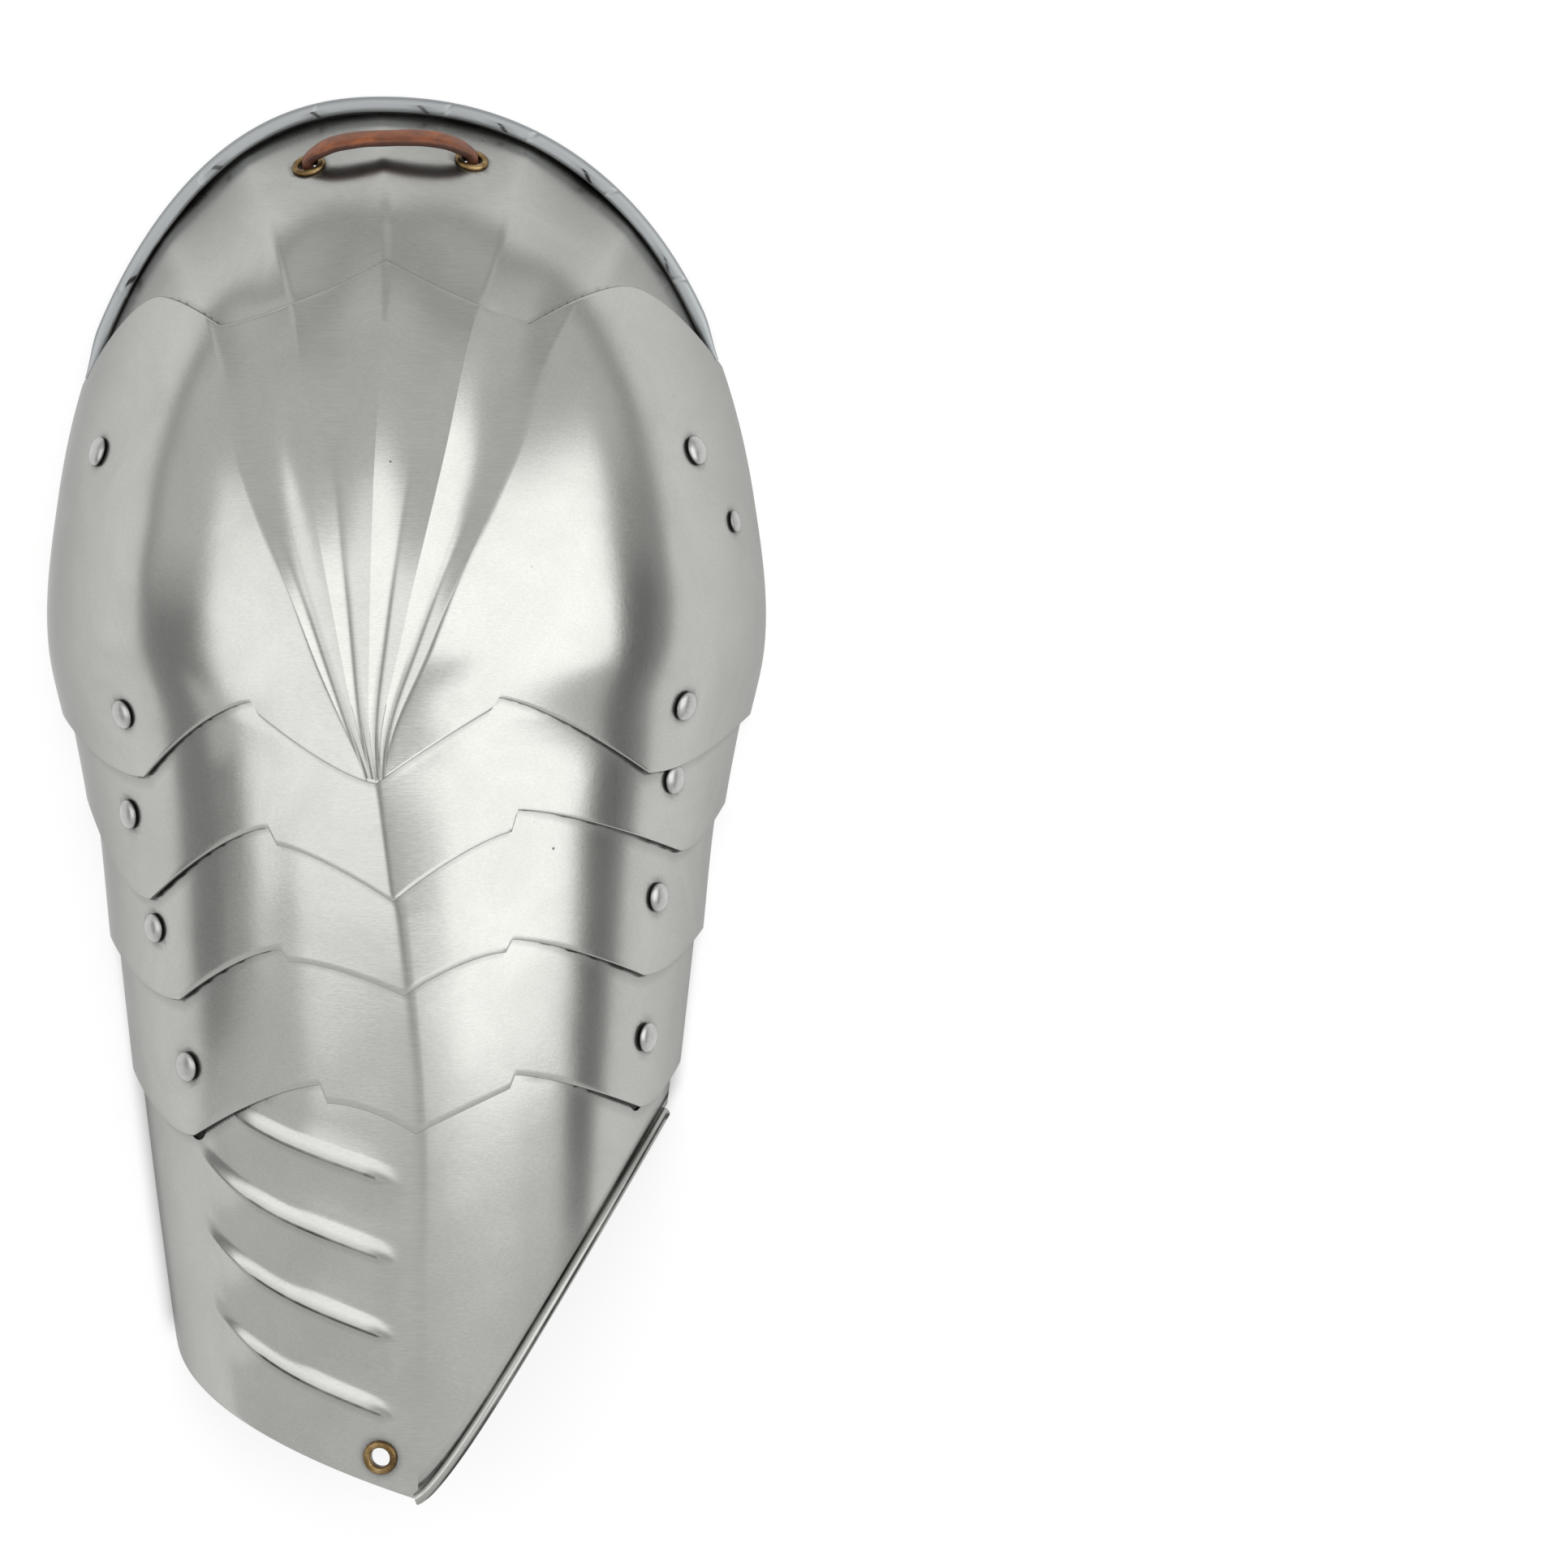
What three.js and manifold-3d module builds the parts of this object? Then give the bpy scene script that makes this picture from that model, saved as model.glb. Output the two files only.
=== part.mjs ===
// A lobed and fluted steel pauldron, lying convex side up: a neck plate with a rolled rim, a domed
// main plate with a fan of flutes, three narrow lames and a pointed arm plate, riveted side to side.
// Millimetres. +Z is up, +X is the wearer's front or back flank, +Y runs towards the neck. While it is
// worked out, Y = 0 crosses the highest point of the dome; the finished group stands on Z = 0.
import * as THREE from 'three';
import { mergeVertices } from 'three/addons/utils/BufferGeometryUtils.js';
import Module from 'manifold-3d';

// Overall form
const halfWidth = 97.5; // keel line to flank at the widest place
const neckReach = 149; // highest point to the rim at the neck
const armReach = 227.4; // highest point to the tip over the arm
const crownHeight = 90;
const squareness = 2.2; // exponent of the oval that the neck end follows
const flankSlope = THREE.MathUtils.degToRad(80); // steepness at the side rims
const neckSlope = THREE.MathUtils.degToRad(62); // steepness at the neck rim
const keelShare = 0.12; // how much of the section is a straight roof with a crease on top
const creaseOnset = 0.15; // share of armReach over which that crease grows from nothing
const reliefFade = 12; // flutes and ribs die out at the rim by this power of the way to it

// Sheet and fits
const sheetThickness = 1.2;
const lapClearance = 1.0; // between one plate and the next below it
const seatClearance = 0.3; // under rivet heads and eyelet flanges
const swingClearance = 0.25; // more at a rivet's tail, where the inner plate turns past it
const boreClearance = 0.45; // round shanks and barrels
const rimLift = 0.6; // the plates between the end ones stand this much clear of the table
const tuckDepth = 0.9; // a hidden margin bends in by this, so that it clears as the plates swing
const tuckReach = 14; // over this much of its length

// Flutes and ribs
const fluteDepth = 3.0; // valleys of the fan
const fluteCount = 4; // over the whole fan, so that its middle ridge is the keel
const ribHeight = 1.5; // embossed ribs of the arm plate
const ribCount = 4;
const ribPitch = 21.2;
const ribStart = 144.8; // highest point of the dome to the first rib's end at the keel
const ribSweep = 30.6; // how far a rib climbs from the keel to its outer end
const ribHook = { share: 0.35, power: 5 }; // part of that climb that comes near the outer end
const ribOnset = 5.5; // width of the side of a rib towards the neck
const ribRunout = 12; // width of the side towards the tip
const ribPower = { onset: 1.6, runout: 2 }; // how hollow those sides are
const ribSpan = 0.8; // share of the way from the keel to the rim that a rib crosses
// Where ribs begin and end, as shares of that span: the first one fades out under the lame above it
const ribEnds = { keel: 0.03, full: 0.26, fade: 0.26, first: 0.93, rest: 1.1 };

// Rolled edges
const neckRollRadius = 2.2;
const armRollRadius = 1.65;
const rollSeat = 0.6; // how far the neck roll's middle lies outside the sheet, in roll radii
const rollBack = 5; // the neck roll stops this far above the main plate's corners
const armRollFrom = 0.02; // shares of the way from the keel to the right rim
const armRollTo = 0.985;

// Rivets
const headRadius = 4;
const headHeight = 1.9;
const shankRadius = 1.5;
const tailRadius = 3.2;
const tailThickness = 1;
const strapHeadRadius = 3;
const strapHeadHeight = 1.1;
const strapTailRadius = 2.4;
const washerRadius = 5; // tail of the rivets that run in the slots
const flankBend = 42; // radius of the plates' hollow where the tails sit
const slotLength = 17;
const slotHalfWidth = 3.6;
const slideFall = THREE.MathUtils.degToRad(10); // slope of the slots, as the crown falls there
const cutReach = 8; // bores and slots are cut this far to both sides of the skin
// Outline of a domed head, as shares of its radius and height
const headDome = [
  { radius: 1, height: 0 },
  { radius: 0.87, height: 0.5 },
  { radius: 0.5, height: 0.87 },
  { radius: 0, height: 1 },
];

// Eyelets and leather
const eyeletFlangeRadius = 4.65;
const eyeletFlangeHeight = 0.9;
const eyeletHoleRadius = 2.65;
const eyeletBarrelRadius = 3.1;
const eyeletTailRadius = 4.2;
// Outline of the flange, as shares of its radius and height
const flangeOutline = [
  { radius: 1, height: 0 },
  { radius: 0.93, height: 0.7 },
  { radius: 0.78, height: 1 },
];
const flangeLip = 0.6; // height at the hole, as a share of the flange's
const loopHalfWidth = 2.2;
const loopHalfThickness = 1.6;
const loopRise = 8.2; // of the loop's middle line over the plate
const loopShoulder = { low: 1.5, high: 2.5 }; // where it leaves an eyelet and where its arch begins
const loopSquareness = 3.5; // power of the arch
const loopStations = [0.12, 0.3, 0.5, 0.7, 0.88]; // shares of the way over the arch
const loopTail = 5; // lace that goes on inside the plate, up to its stopper knot
const knotRadius = 3.4;

const layerPitch = sheetThickness + lapClearance;
const armLayer = 4; // the main plate is layer 0, the lames and the neck plate follow
const footOf = (layer) => (layer === 0 || layer === armLayer ? 0 : rimLift);

// Outline and spine, from the neck to the tip. along: share of neckReach before the crown line and of
// armReach after it. half and top: shares of halfWidth and crownHeight. keel: share of halfWidth.
const spine = [
  { along: 1.0, half: 1.0, top: 1.0, keel: -0.072 },
  { along: 0.69, half: 1.0, top: 1.0, keel: -0.026 },
  { along: 0.28, half: 1.0, top: 1.0, keel: -0.044 },
  { along: 0, half: 1.0, top: 1.0, keel: -0.052 },
  { along: -0.1, half: 0.95, top: 0.976, keel: -0.053 },
  { along: -0.2, half: 0.908, top: 0.944, keel: -0.024 },
  { along: -0.35, half: 0.871, top: 0.88, keel: 0.018 },
  { along: -0.55, half: 0.818, top: 0.786, keel: 0.056 },
  { along: -0.82, half: 0.735, top: 0.665, keel: 0.05 },
  { along: -1.0, half: 0.668, top: 0.586, keel: 0.046 },
];

// The fan of flutes. half: share of halfWidth from the keel to the outer ridge. depth: share of fluteDepth.
const fan = [
  { along: 1.0, half: 0.94, depth: 0.6 },
  { along: 0.88, half: 0.77, depth: 0.8 },
  { along: 0.77, half: 0.656, depth: 0.95 },
  { along: 0.56, half: 0.477, depth: 1.0 },
  { along: 0.33, half: 0.372, depth: 0.85 },
  { along: 0, half: 0.166, depth: 0.36 },
  { along: -0.15, half: 0.032, depth: 0 },
  { along: -1.0, half: 0.032, depth: 0 },
];

// Edges of the plates, from the left rim to the right. across: 0 at the keel, -1 and 1 at the rims.
// along: as in the spine. bend: how the span to the next row curves, 1 is straight, above 1 it leaves
// level, below -1 it arrives level.
const mainTopEdge = [
  { across: -1, along: 0.485, bend: -2.2 },
  { across: -0.81, along: 0.632, bend: 1.4 },
  { across: -0.545, along: 0.569, bend: 1.3 },
  { across: 0, along: 0.684, bend: -1.15 },
  { across: 0.445, along: 0.571, bend: -1.4 },
  { across: 0.79, along: 0.651, bend: 2.2 },
  { across: 1, along: 0.519, bend: 1 },
];
const mainHem = [
  { across: -1, along: -0.079, bend: -2 },
  { across: -0.736, along: -0.1535, bend: -1.5 },
  { across: -0.351, along: -0.0677, bend: 1 },
  { across: -0.331, along: -0.0835, bend: -1.4 },
  { across: 0, along: -0.162, bend: 1 },
  { across: 0.32, along: -0.077, bend: 1 },
  { across: 0.338, along: -0.0629, bend: 1.35 },
  { across: 0.753, along: -0.1486, bend: 2 },
  { across: 1, along: -0.079, bend: 1 },
];
const lameAHem = [
  { across: -1, along: -0.18, bend: -2 },
  { across: -0.794, along: -0.2968, bend: -1.5 },
  { across: -0.366, along: -0.2124, bend: 1 },
  { across: -0.345, along: -0.2331, bend: 1.4 },
  { across: 0, along: -0.298, bend: -1.25 },
  { across: 0.38, along: -0.2172, bend: 1 },
  { across: 0.4, along: -0.1917, bend: 1.5 },
  { across: 0.885, along: -0.2405, bend: 2 },
  { across: 1, along: -0.185, bend: 1 },
];
const lameBHem = [
  { across: -1, along: -0.3448, bend: -2 },
  { across: -0.755, along: -0.4151, bend: -1.5 },
  { across: -0.387, along: -0.3536, bend: 1 },
  { across: -0.367, along: -0.3677, bend: 1.6 },
  { across: 0, along: -0.4068, bend: -1.5 },
  { across: 0.355, along: -0.3571, bend: 1 },
  { across: 0.377, along: -0.3421, bend: 1.5 },
  { across: 0.818, along: -0.387, bend: 2 },
  { across: 1, along: -0.3351, bend: 1 },
];
const lameCHem = [
  { across: -1, along: -0.504, bend: -2 },
  { across: -0.783, along: -0.5761, bend: -1.5 },
  { across: -0.315, along: -0.5123, bend: 1 },
  { across: -0.295, along: -0.5334, bend: 1.8 },
  { across: 0, along: -0.5682, bend: 1 },
  { across: 0.367, along: -0.5167, bend: 1 },
  { across: 0.387, along: -0.5009, bend: 1.5 },
  { across: 0.869, along: -0.544, bend: 2 },
  { across: 1, along: -0.4952, bend: 1 },
];
const armHem = [
  { across: -1, along: -0.827, bend: 0.5 },
  { across: 0, along: -1.0, bend: 1.35 },
  { across: 1, along: -0.545, bend: 1 },
];
// Hidden upper edges, drawn under the plate above and round its rivets
const lameATopEdge = [
  { across: -1, along: -0.026, bend: 1 },
  { across: -0.4, along: -0.026, bend: 1 },
  { across: 0, along: -0.1, bend: 1 },
  { across: 0.4, along: -0.022, bend: 1 },
  { across: 1, along: -0.022, bend: 1 },
];
const lameBTopEdge = [
  { across: -1, along: -0.165, bend: 1 },
  { across: 1, along: -0.123, bend: 1 },
];
const lameCTopEdge = [
  { across: -1, along: -0.295, bend: 1 },
  { across: 1, along: -0.26, bend: 1 },
];
const armTopEdge = [
  { across: -1, along: -0.449, bend: 1 },
  { across: 1, along: -0.425, bend: 1 },
];

// The neck plate runs under the main plate and down its flanks as two ears. Rays turn from the neck
// line; the inner edge is a share of the way from the crown to the rim.
const neckEarRay = THREE.MathUtils.degToRad(74);
const neckInnerMiddle = 0.52;
const neckInnerEar = 0.79;

// Rivets. across: share of halfWidth from the middle line. along: as in the spine.
// layer: which plate its head lies on, counted from the main plate down.
const rivetPlaces = [
  { name: 'rivet_main_top_left', across: -0.824, along: 0.35, layer: 0 },
  { name: 'rivet_main_top_right', across: 0.81, along: 0.352, layer: 0 },
  { name: 'rivet_main_a_left', across: -0.744, along: -0.08, layer: 0 },
  { name: 'rivet_main_a_right', across: 0.783, along: -0.07, layer: 0 },
  { name: 'rivet_a_b_left', across: -0.737, along: -0.197, layer: 1 },
  { name: 'rivet_a_b_right', across: 0.751, along: -0.156, layer: 1 },
  { name: 'rivet_b_c_left', across: -0.669, along: -0.331, layer: 2 },
  { name: 'rivet_b_c_right', across: 0.706, along: -0.295, layer: 2 },
  { name: 'rivet_c_arm_left', across: -0.579, along: -0.494, layer: 3 },
  { name: 'rivet_c_arm_right', across: 0.673, along: -0.461, layer: 3 },
];
const strapRivetPlace = { name: 'rivet_strap', across: 0.915, along: 0.2275, layer: 0 };
const eyeletPlaces = [
  { name: 'eyelet_loop_left', across: -0.26, along: 0.872, layer: 1 },
  { name: 'eyelet_loop_right', across: 0.19, along: 0.882, layer: 1 },
  { name: 'eyelet_arm', across: -0.048, along: -0.951, layer: armLayer },
];

// Grid steps
const fluteSteps = 4; // across one flute
const mainRows = 15;
const neckRows = 6;
const earSteps = 5;
const hemSteps = [4, 3, 1, 3, 3, 1, 3, 4]; // between the rows of a hem
const lameRows = 4;
const ribRows = [1, 0, -0.35, -1]; // across a rib: shares of ribOnset, then of ribRunout
const armSteps = 10; // from the keel to one rim
const roundSteps = 8; // round a rivet
const ringSteps = 12; // round an eyelet
const quarterSteps = 4; // round half of a roll or lace
const neckRollSteps = 28;
const armRollSteps = 14;
const laceSteps = 26;
const searchSteps = 40; // halvings, or rounds towards a meeting point
const thinnestFlank = 0.03; // no column lies closer than this share beside the fan
const probe = 0.5; // half of the step over which a slope is measured

const wasm = await Module();
wasm.setup();

function solidOf(geometry) {
  const bare = geometry.clone();
  bare.deleteAttribute('normal');
  bare.deleteAttribute('uv');
  const merged = mergeVertices(bare, 1e-4);
  return new wasm.Manifold(new wasm.Mesh({
    numProp: 3,
    vertProperties: new Float32Array(merged.attributes.position.array),
    triVerts: new Uint32Array(merged.index.array),
  }));
}

function geometryOf(solid) {
  const mesh = solid.getMesh();
  const geometry = new THREE.BufferGeometry();
  geometry.setAttribute('position', new THREE.BufferAttribute(new Float32Array(mesh.vertProperties), 3));
  geometry.setIndex(new THREE.BufferAttribute(new Uint32Array(mesh.triVerts), 1));
  geometry.computeVertexNormals();
  return geometry;
}

const lerp = THREE.MathUtils.lerp;
const lengthAt = (along) => along * (along > 0 ? neckReach : armReach);
const alongAt = (y) => y / (y > 0 ? neckReach : armReach);

// Smooth curve through one column of a table that runs down from the neck
function follow(rows, column, y) {
  const at = Math.min(Math.max(y, lengthAt(rows.at(-1).along)), lengthAt(rows[0].along));
  let k = 0;
  while (k < rows.length - 2 && at < lengthAt(rows[k + 1].along)) k += 1;
  const place = (i) => lengthAt(rows[i].along);
  const rate = (i, j) => (rows[j][column] - rows[i][column]) / (place(j) - place(i));
  const slope = (i) => (i === 0 ? rate(0, 1) : i === rows.length - 1 ? rate(i - 1, i)
    : (rate(i - 1, i) + rate(i, i + 1)) / 2);
  const span = place(k + 1) - place(k);
  const u = (at - place(k)) / span;
  const rise = rows[k + 1][column] - rows[k][column];
  const early = slope(k) * span - rise;
  const late = rise - slope(k + 1) * span;
  return rows[k][column] + u * rise + u * (1 - u) * ((1 - u) * early + u * late);
}

// Length at which an edge lies, at a place across
function edgeAt(rows, across) {
  let k = 0;
  while (k < rows.length - 2 && across > rows[k + 1].across) k += 1;
  const u = THREE.MathUtils.clamp((across - rows[k].across) / (rows[k + 1].across - rows[k].across), 0, 1);
  const { bend } = rows[k];
  const eased = bend > 0 ? u ** bend : 1 - (1 - u) ** -bend;
  return lerp(lengthAt(rows[k].along), lengthAt(rows[k + 1].along), eased);
}

const keelAt = (y) => halfWidth * follow(spine, 'keel', y);
const fanAt = (y) => halfWidth * follow(fan, 'half', y);

// From the keel to the rim on one side, before the neck end narrows
function sideAt(y, side, inset) {
  return side * (halfWidth * follow(spine, 'half', y) - inset) - keelAt(y);
}

// Share of the way from the crown to the rim, in X and in Y, and along both
function shareOf(x, y, inset) {
  const offKeel = x - keelAt(y);
  const u = offKeel / Math.abs(sideAt(y, offKeel < 0 ? -1 : 1, inset));
  const v = Math.max(y, 0) / (neckReach - inset);
  return { u, v, r: (Math.abs(u) ** squareness + v ** squareness) ** (1 / squareness) };
}

// Where the rim lies across at a given length
function rimAt(y, side, inset) {
  const v = Math.min(Math.max(y, 0) / (neckReach - inset), 1);
  return keelAt(y) + sideAt(y, side, inset) * (1 - v ** squareness) ** (1 / squareness);
}

function bulge(r, slope) {
  const reach = Math.sin(slope) * Math.min(r, 1);
  return (Math.sqrt(1 - reach * reach) - Math.cos(slope)) / (1 - Math.cos(slope));
}

function fluteDrop(x, y, r) {
  const p = (x - keelAt(y)) / fanAt(y);
  if (Math.abs(p) >= 1) return 0;
  const valley = Math.abs(Math.sin((Math.PI * fluteCount * p) / 2));
  return fluteDepth * Math.max(follow(fan, 'depth', y), 0) * valley * (1 - r ** reliefFade);
}

// Length at which the crisp edge of a rib lies
function ribEdge(k, across) {
  const reach = Math.max(-across / ribSpan, 0);
  const climb = lerp(reach, Math.min(reach, 1) ** ribHook.power, ribHook.share);
  return -ribStart - k * ribPitch + ribSweep * climb;
}

// One rib rises gently from the neck side to a crisp edge, then runs out slowly towards the tip
function ribRise(across, y) {
  const reach = -across / ribSpan;
  let rise = 0;
  for (let k = 0; k < ribCount; k += 1) {
    const end = k === 0 ? ribEnds.first : ribEnds.rest;
    const fade = THREE.MathUtils.smoothstep(reach, ribEnds.keel, ribEnds.full)
      * (1 - THREE.MathUtils.smoothstep(reach, end - ribEnds.fade, end));
    const past = y - ribEdge(k, across);
    if (past >= 0 && past < ribOnset) rise += fade * (1 - past / ribOnset) ** ribPower.onset;
    if (past < 0 && past > -ribRunout) rise += fade * (1 + past / ribRunout) ** ribPower.runout;
  }
  return ribHeight * rise;
}

// Height of the skin that lies inset inside the outermost form
function heightAt(x, y, inset, foot, ribbed) {
  const { u, v, r } = shareOf(x, y, inset);
  const turn = r > 0 ? (v / r) ** 2 : 0;
  const slope = lerp(flankSlope, neckSlope, turn);
  const crease = keelShare * THREE.MathUtils.smoothstep(-alongAt(y), 0, creaseOnset);
  const top = crownHeight * follow(spine, 'top', y) - inset - foot;
  const form = (1 - crease) * bulge(r, slope) + crease * (1 - Math.min(Math.abs(u), 1));
  const raised = ribbed ? ribRise(u, y) * (1 - r ** reliefFade) : 0;
  return foot + top * form - fluteDrop(x, y, r) + raised;
}

// A sheet from a grid of plan points: place(column, row, inset) gives x, y and the inset there
function sheetSolid(columns, rows, layer, place, ribbed = false) {
  const position = [];
  const index = [];
  const id = (side, i, j) => (side * (columns + 1) + i) * (rows + 1) + j;
  for (const side of [0, 1]) {
    const inset = layer * layerPitch + side * sheetThickness;
    for (let i = 0; i <= columns; i += 1) {
      for (let j = 0; j <= rows; j += 1) {
        const [x, y, deep] = place(i, j, inset);
        position.push(x, y, heightAt(x, y, deep, footOf(layer), ribbed));
      }
    }
  }
  const quad = (a, b, c, d) => index.push(a, b, c, a, c, d);
  for (let i = 0; i < columns; i += 1) {
    for (let j = 0; j < rows; j += 1) {
      quad(id(0, i, j), id(0, i, j + 1), id(0, i + 1, j + 1), id(0, i + 1, j));
      quad(id(1, i, j), id(1, i + 1, j), id(1, i + 1, j + 1), id(1, i, j + 1));
    }
    quad(id(0, i, 0), id(0, i + 1, 0), id(1, i + 1, 0), id(1, i, 0));
    quad(id(0, i, rows), id(1, i, rows), id(1, i + 1, rows), id(0, i + 1, rows));
  }
  for (let j = 0; j < rows; j += 1) {
    quad(id(0, 0, j), id(1, 0, j), id(1, 0, j + 1), id(0, 0, j + 1));
    quad(id(0, columns, j), id(0, columns, j + 1), id(1, columns, j + 1), id(1, columns, j));
  }
  const geometry = new THREE.BufferGeometry();
  geometry.setAttribute('position', new THREE.Float32BufferAttribute(position, 3));
  geometry.setIndex(index);
  return solidOf(geometry);
}

// Steps that lie closer where the section bends more
const turnOf = (across) => Math.asin(across * Math.sin(flankSlope));
const stepAcross = (from, to, part) => Math.sin(lerp(turnOf(from), turnOf(to), part)) / Math.sin(flankSlope);

// Steps across a plate that meet every corner of its hem
function hemColumns(hem) {
  const columns = [-1];
  for (let k = 0; k < hem.length - 1; k += 1) {
    for (let n = 1; n <= hemSteps[k]; n += 1) {
      columns.push(stepAcross(hem[k].across, hem[k + 1].across, n / hemSteps[k]));
    }
  }
  return columns;
}

// How much deeper a hidden margin lies, by the length from its edge
const tuckAt = (fromEdge) => tuckDepth * Math.max(0, 1 - fromEdge / tuckReach);

function acrossAt(across, y, inset) {
  return keelAt(y) + Math.abs(across) * sideAt(y, across < 0 ? -1 : 1, inset);
}

function lameSolid(topEdge, hem, layer) {
  const columns = hemColumns(hem);
  const place = (i, j, inset) => {
    const edge = edgeAt(topEdge, columns[i]);
    const y = lerp(edge, edgeAt(hem, columns[i]), j / lameRows);
    const deep = inset + tuckAt(edge - y);
    return [acrossAt(columns[i], y, deep), y, deep];
  };
  return sheetSolid(columns.length - 1, lameRows, layer, place);
}

// Where a column of the main plate meets one of its edges
function meetEdge(edge, across, inset) {
  let y = lengthAt(edge[Math.floor(edge.length / 2)].along);
  for (let n = 0; n < searchSteps; n += 1) {
    const x = across(y);
    const rim = rimAt(y, x < keelAt(y) ? -1 : 1, inset);
    y = (y + edgeAt(edge, (x - keelAt(y)) / Math.abs(rim - keelAt(y)))) / 2;
  }
  return y;
}

// The main plate's columns follow the flutes, and beside the fan they run from the corners of the hem
// up to the rims
function mainSolid() {
  const flanks = [];
  for (const across of hemColumns(mainHem)) {
    const y = edgeAt(mainHem, across);
    const span = Math.abs(rimAt(y, Math.sign(across), 0) - keelAt(y));
    const part = (Math.abs(across) * span - fanAt(y)) / (span - fanAt(y));
    if (part > thinnestFlank) flanks.push(Math.sign(across) * part);
  }
  const flutes = [];
  for (let n = -fluteCount * fluteSteps; n <= fluteCount * fluteSteps; n += 2) {
    flutes.push(n / (fluteCount * fluteSteps));
  }
  const left = flanks.filter((part) => part < 0).length;
  const total = flanks.length + flutes.length;
  const across = (i, inset) => (y) => {
    const fluted = i - left;
    if (fluted >= 0 && fluted < flutes.length) return keelAt(y) + fanAt(y) * flutes[fluted];
    const part = fluted < 0 ? flanks[i] : flanks[i - flutes.length];
    const rim = rimAt(y, Math.sign(part), inset);
    return lerp(keelAt(y) + Math.sign(part) * fanAt(y), rim, Math.abs(part));
  };
  const place = (i, j, inset) => {
    const column = across(i, inset);
    const y = lerp(meetEdge(mainTopEdge, column, inset), meetEdge(mainHem, column, inset), j / mainRows);
    return [column(y), y, inset];
  };
  return sheetSolid(total - 1, mainRows, 0, place);
}

// A point of the neck end by its ray, turned from the neck line, and its share of the way to the rim
function rayPoint(ray, share, inset) {
  const size = (Math.abs(Math.sin(ray)) ** squareness + Math.cos(ray) ** squareness) ** (1 / squareness);
  const y = (share * Math.cos(ray) / size) * (neckReach - inset);
  return [keelAt(y) + (share * Math.abs(Math.sin(ray)) / size) * sideAt(y, ray < 0 ? -1 : 1, inset), y];
}

const innerShare = (ray) => lerp(neckInnerMiddle, neckInnerEar, Math.abs(ray) / neckEarRay);

// Where a flute's ridge crosses a share of the way to the rim, as a length
function ridgeAt(p, shareFor, inset) {
  let low = 0;
  let high = neckReach;
  for (let n = 0; n < searchSteps; n += 1) {
    const y = (low + high) / 2;
    const { u, v, r } = shareOf(keelAt(y) + fanAt(y) * p, y, inset);
    if (r < shareFor(Math.atan2(u, v))) low = y;
    else high = y;
  }
  return (low + high) / 2;
}

function neckColumns(inset) {
  const columns = [];
  for (let n = -fluteCount * fluteSteps; n <= fluteCount * fluteSteps; n += 2) {
    const p = n / (fluteCount * fluteSteps);
    columns.push({ p, inner: ridgeAt(p, innerShare, inset), outer: ridgeAt(p, () => 1, inset) });
  }
  const rayOf = (p, y) => {
    const { u, v } = shareOf(keelAt(y) + fanAt(y) * p, y, inset);
    return Math.atan2(u, v);
  };
  for (const side of [-1, 1]) {
    const edge = side < 0 ? columns[0] : columns.at(-1);
    const from = { inner: rayOf(edge.p, edge.inner), outer: rayOf(edge.p, edge.outer) };
    for (let n = 1; n <= earSteps; n += 1) {
      const inner = lerp(from.inner, side * neckEarRay, n / earSteps);
      const outer = lerp(from.outer, side * neckEarRay, n / earSteps);
      if (side < 0) columns.unshift({ inner, outer });
      else columns.push({ inner, outer });
    }
  }
  return columns;
}

function neckSolid() {
  const sets = new Map();
  const place = (i, j, inset) => {
    const deep = inset + (j === neckRows ? tuckDepth : 0);
    if (!sets.has(inset)) sets.set(inset, neckColumns(inset));
    const { p, inner, outer } = sets.get(inset)[i];
    if (p !== undefined) {
      const y = lerp(outer, inner, j / neckRows);
      return [keelAt(y) + fanAt(y) * p, y, deep];
    }
    const share = lerp(1, innerShare(inner), j / neckRows);
    return [...rayPoint(lerp(outer, inner, j / neckRows), share, deep), deep];
  };
  const count = fluteCount * fluteSteps + 2 * earSteps;
  return sheetSolid(count, neckRows, 1, place);
}

// The arm plate's rows run along the ribs on one side of the keel and keep their shares on the other
function armSolid() {
  const ribLines = ribRows.map((share) => share * (share > 0 ? ribOnset : ribRunout));
  const rowsLeft = (across) => {
    const rows = [edgeAt(armTopEdge, across)];
    for (let k = 0; k < ribCount; k += 1) {
      for (const past of ribLines) rows.push(ribEdge(k, across) + past);
    }
    return [...rows, edgeAt(armHem, across)];
  };
  const middle = rowsLeft(0);
  const place = (i, j, inset) => {
    const across = stepAcross(0, Math.sign(i - armSteps), Math.abs(i - armSteps) / armSteps);
    const top = edgeAt(armTopEdge, across);
    const share = (middle[j] - middle[0]) / (middle.at(-1) - middle[0]);
    const y = across <= 0 ? rowsLeft(across)[j] : lerp(top, edgeAt(armHem, across), share);
    const deep = inset + tuckAt(top - y);
    return [acrossAt(across, y, deep), y, deep];
  };
  return sheetSolid(2 * armSteps, middle.length - 1, armLayer, place, true);
}

// A bar of round or oval section along a curve
function barSolid(points, halfWide, halfThick, steps) {
  const section = new THREE.Shape();
  section.absellipse(0, 0, halfThick, halfWide, 0, 2 * Math.PI);
  return solidOf(new THREE.ExtrudeGeometry(section, {
    steps,
    curveSegments: quarterSteps,
    extrudePath: new THREE.CatmullRomCurve3(points),
  }));
}

// A place on the skin of a layer, with the direction out of it
function skinAt(place) {
  const x = place.across * halfWidth;
  const y = lengthAt(place.along);
  const inset = place.layer * layerPitch;
  const at = (dx, dy) => heightAt(x + dx, y + dy, inset, footOf(place.layer), false);
  const point = new THREE.Vector3(x, y, at(0, 0));
  const normal = new THREE.Vector3(at(-probe, 0) - at(probe, 0), at(0, -probe) - at(0, probe), 2 * probe);
  return { point, normal: normal.normalize() };
}

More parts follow.
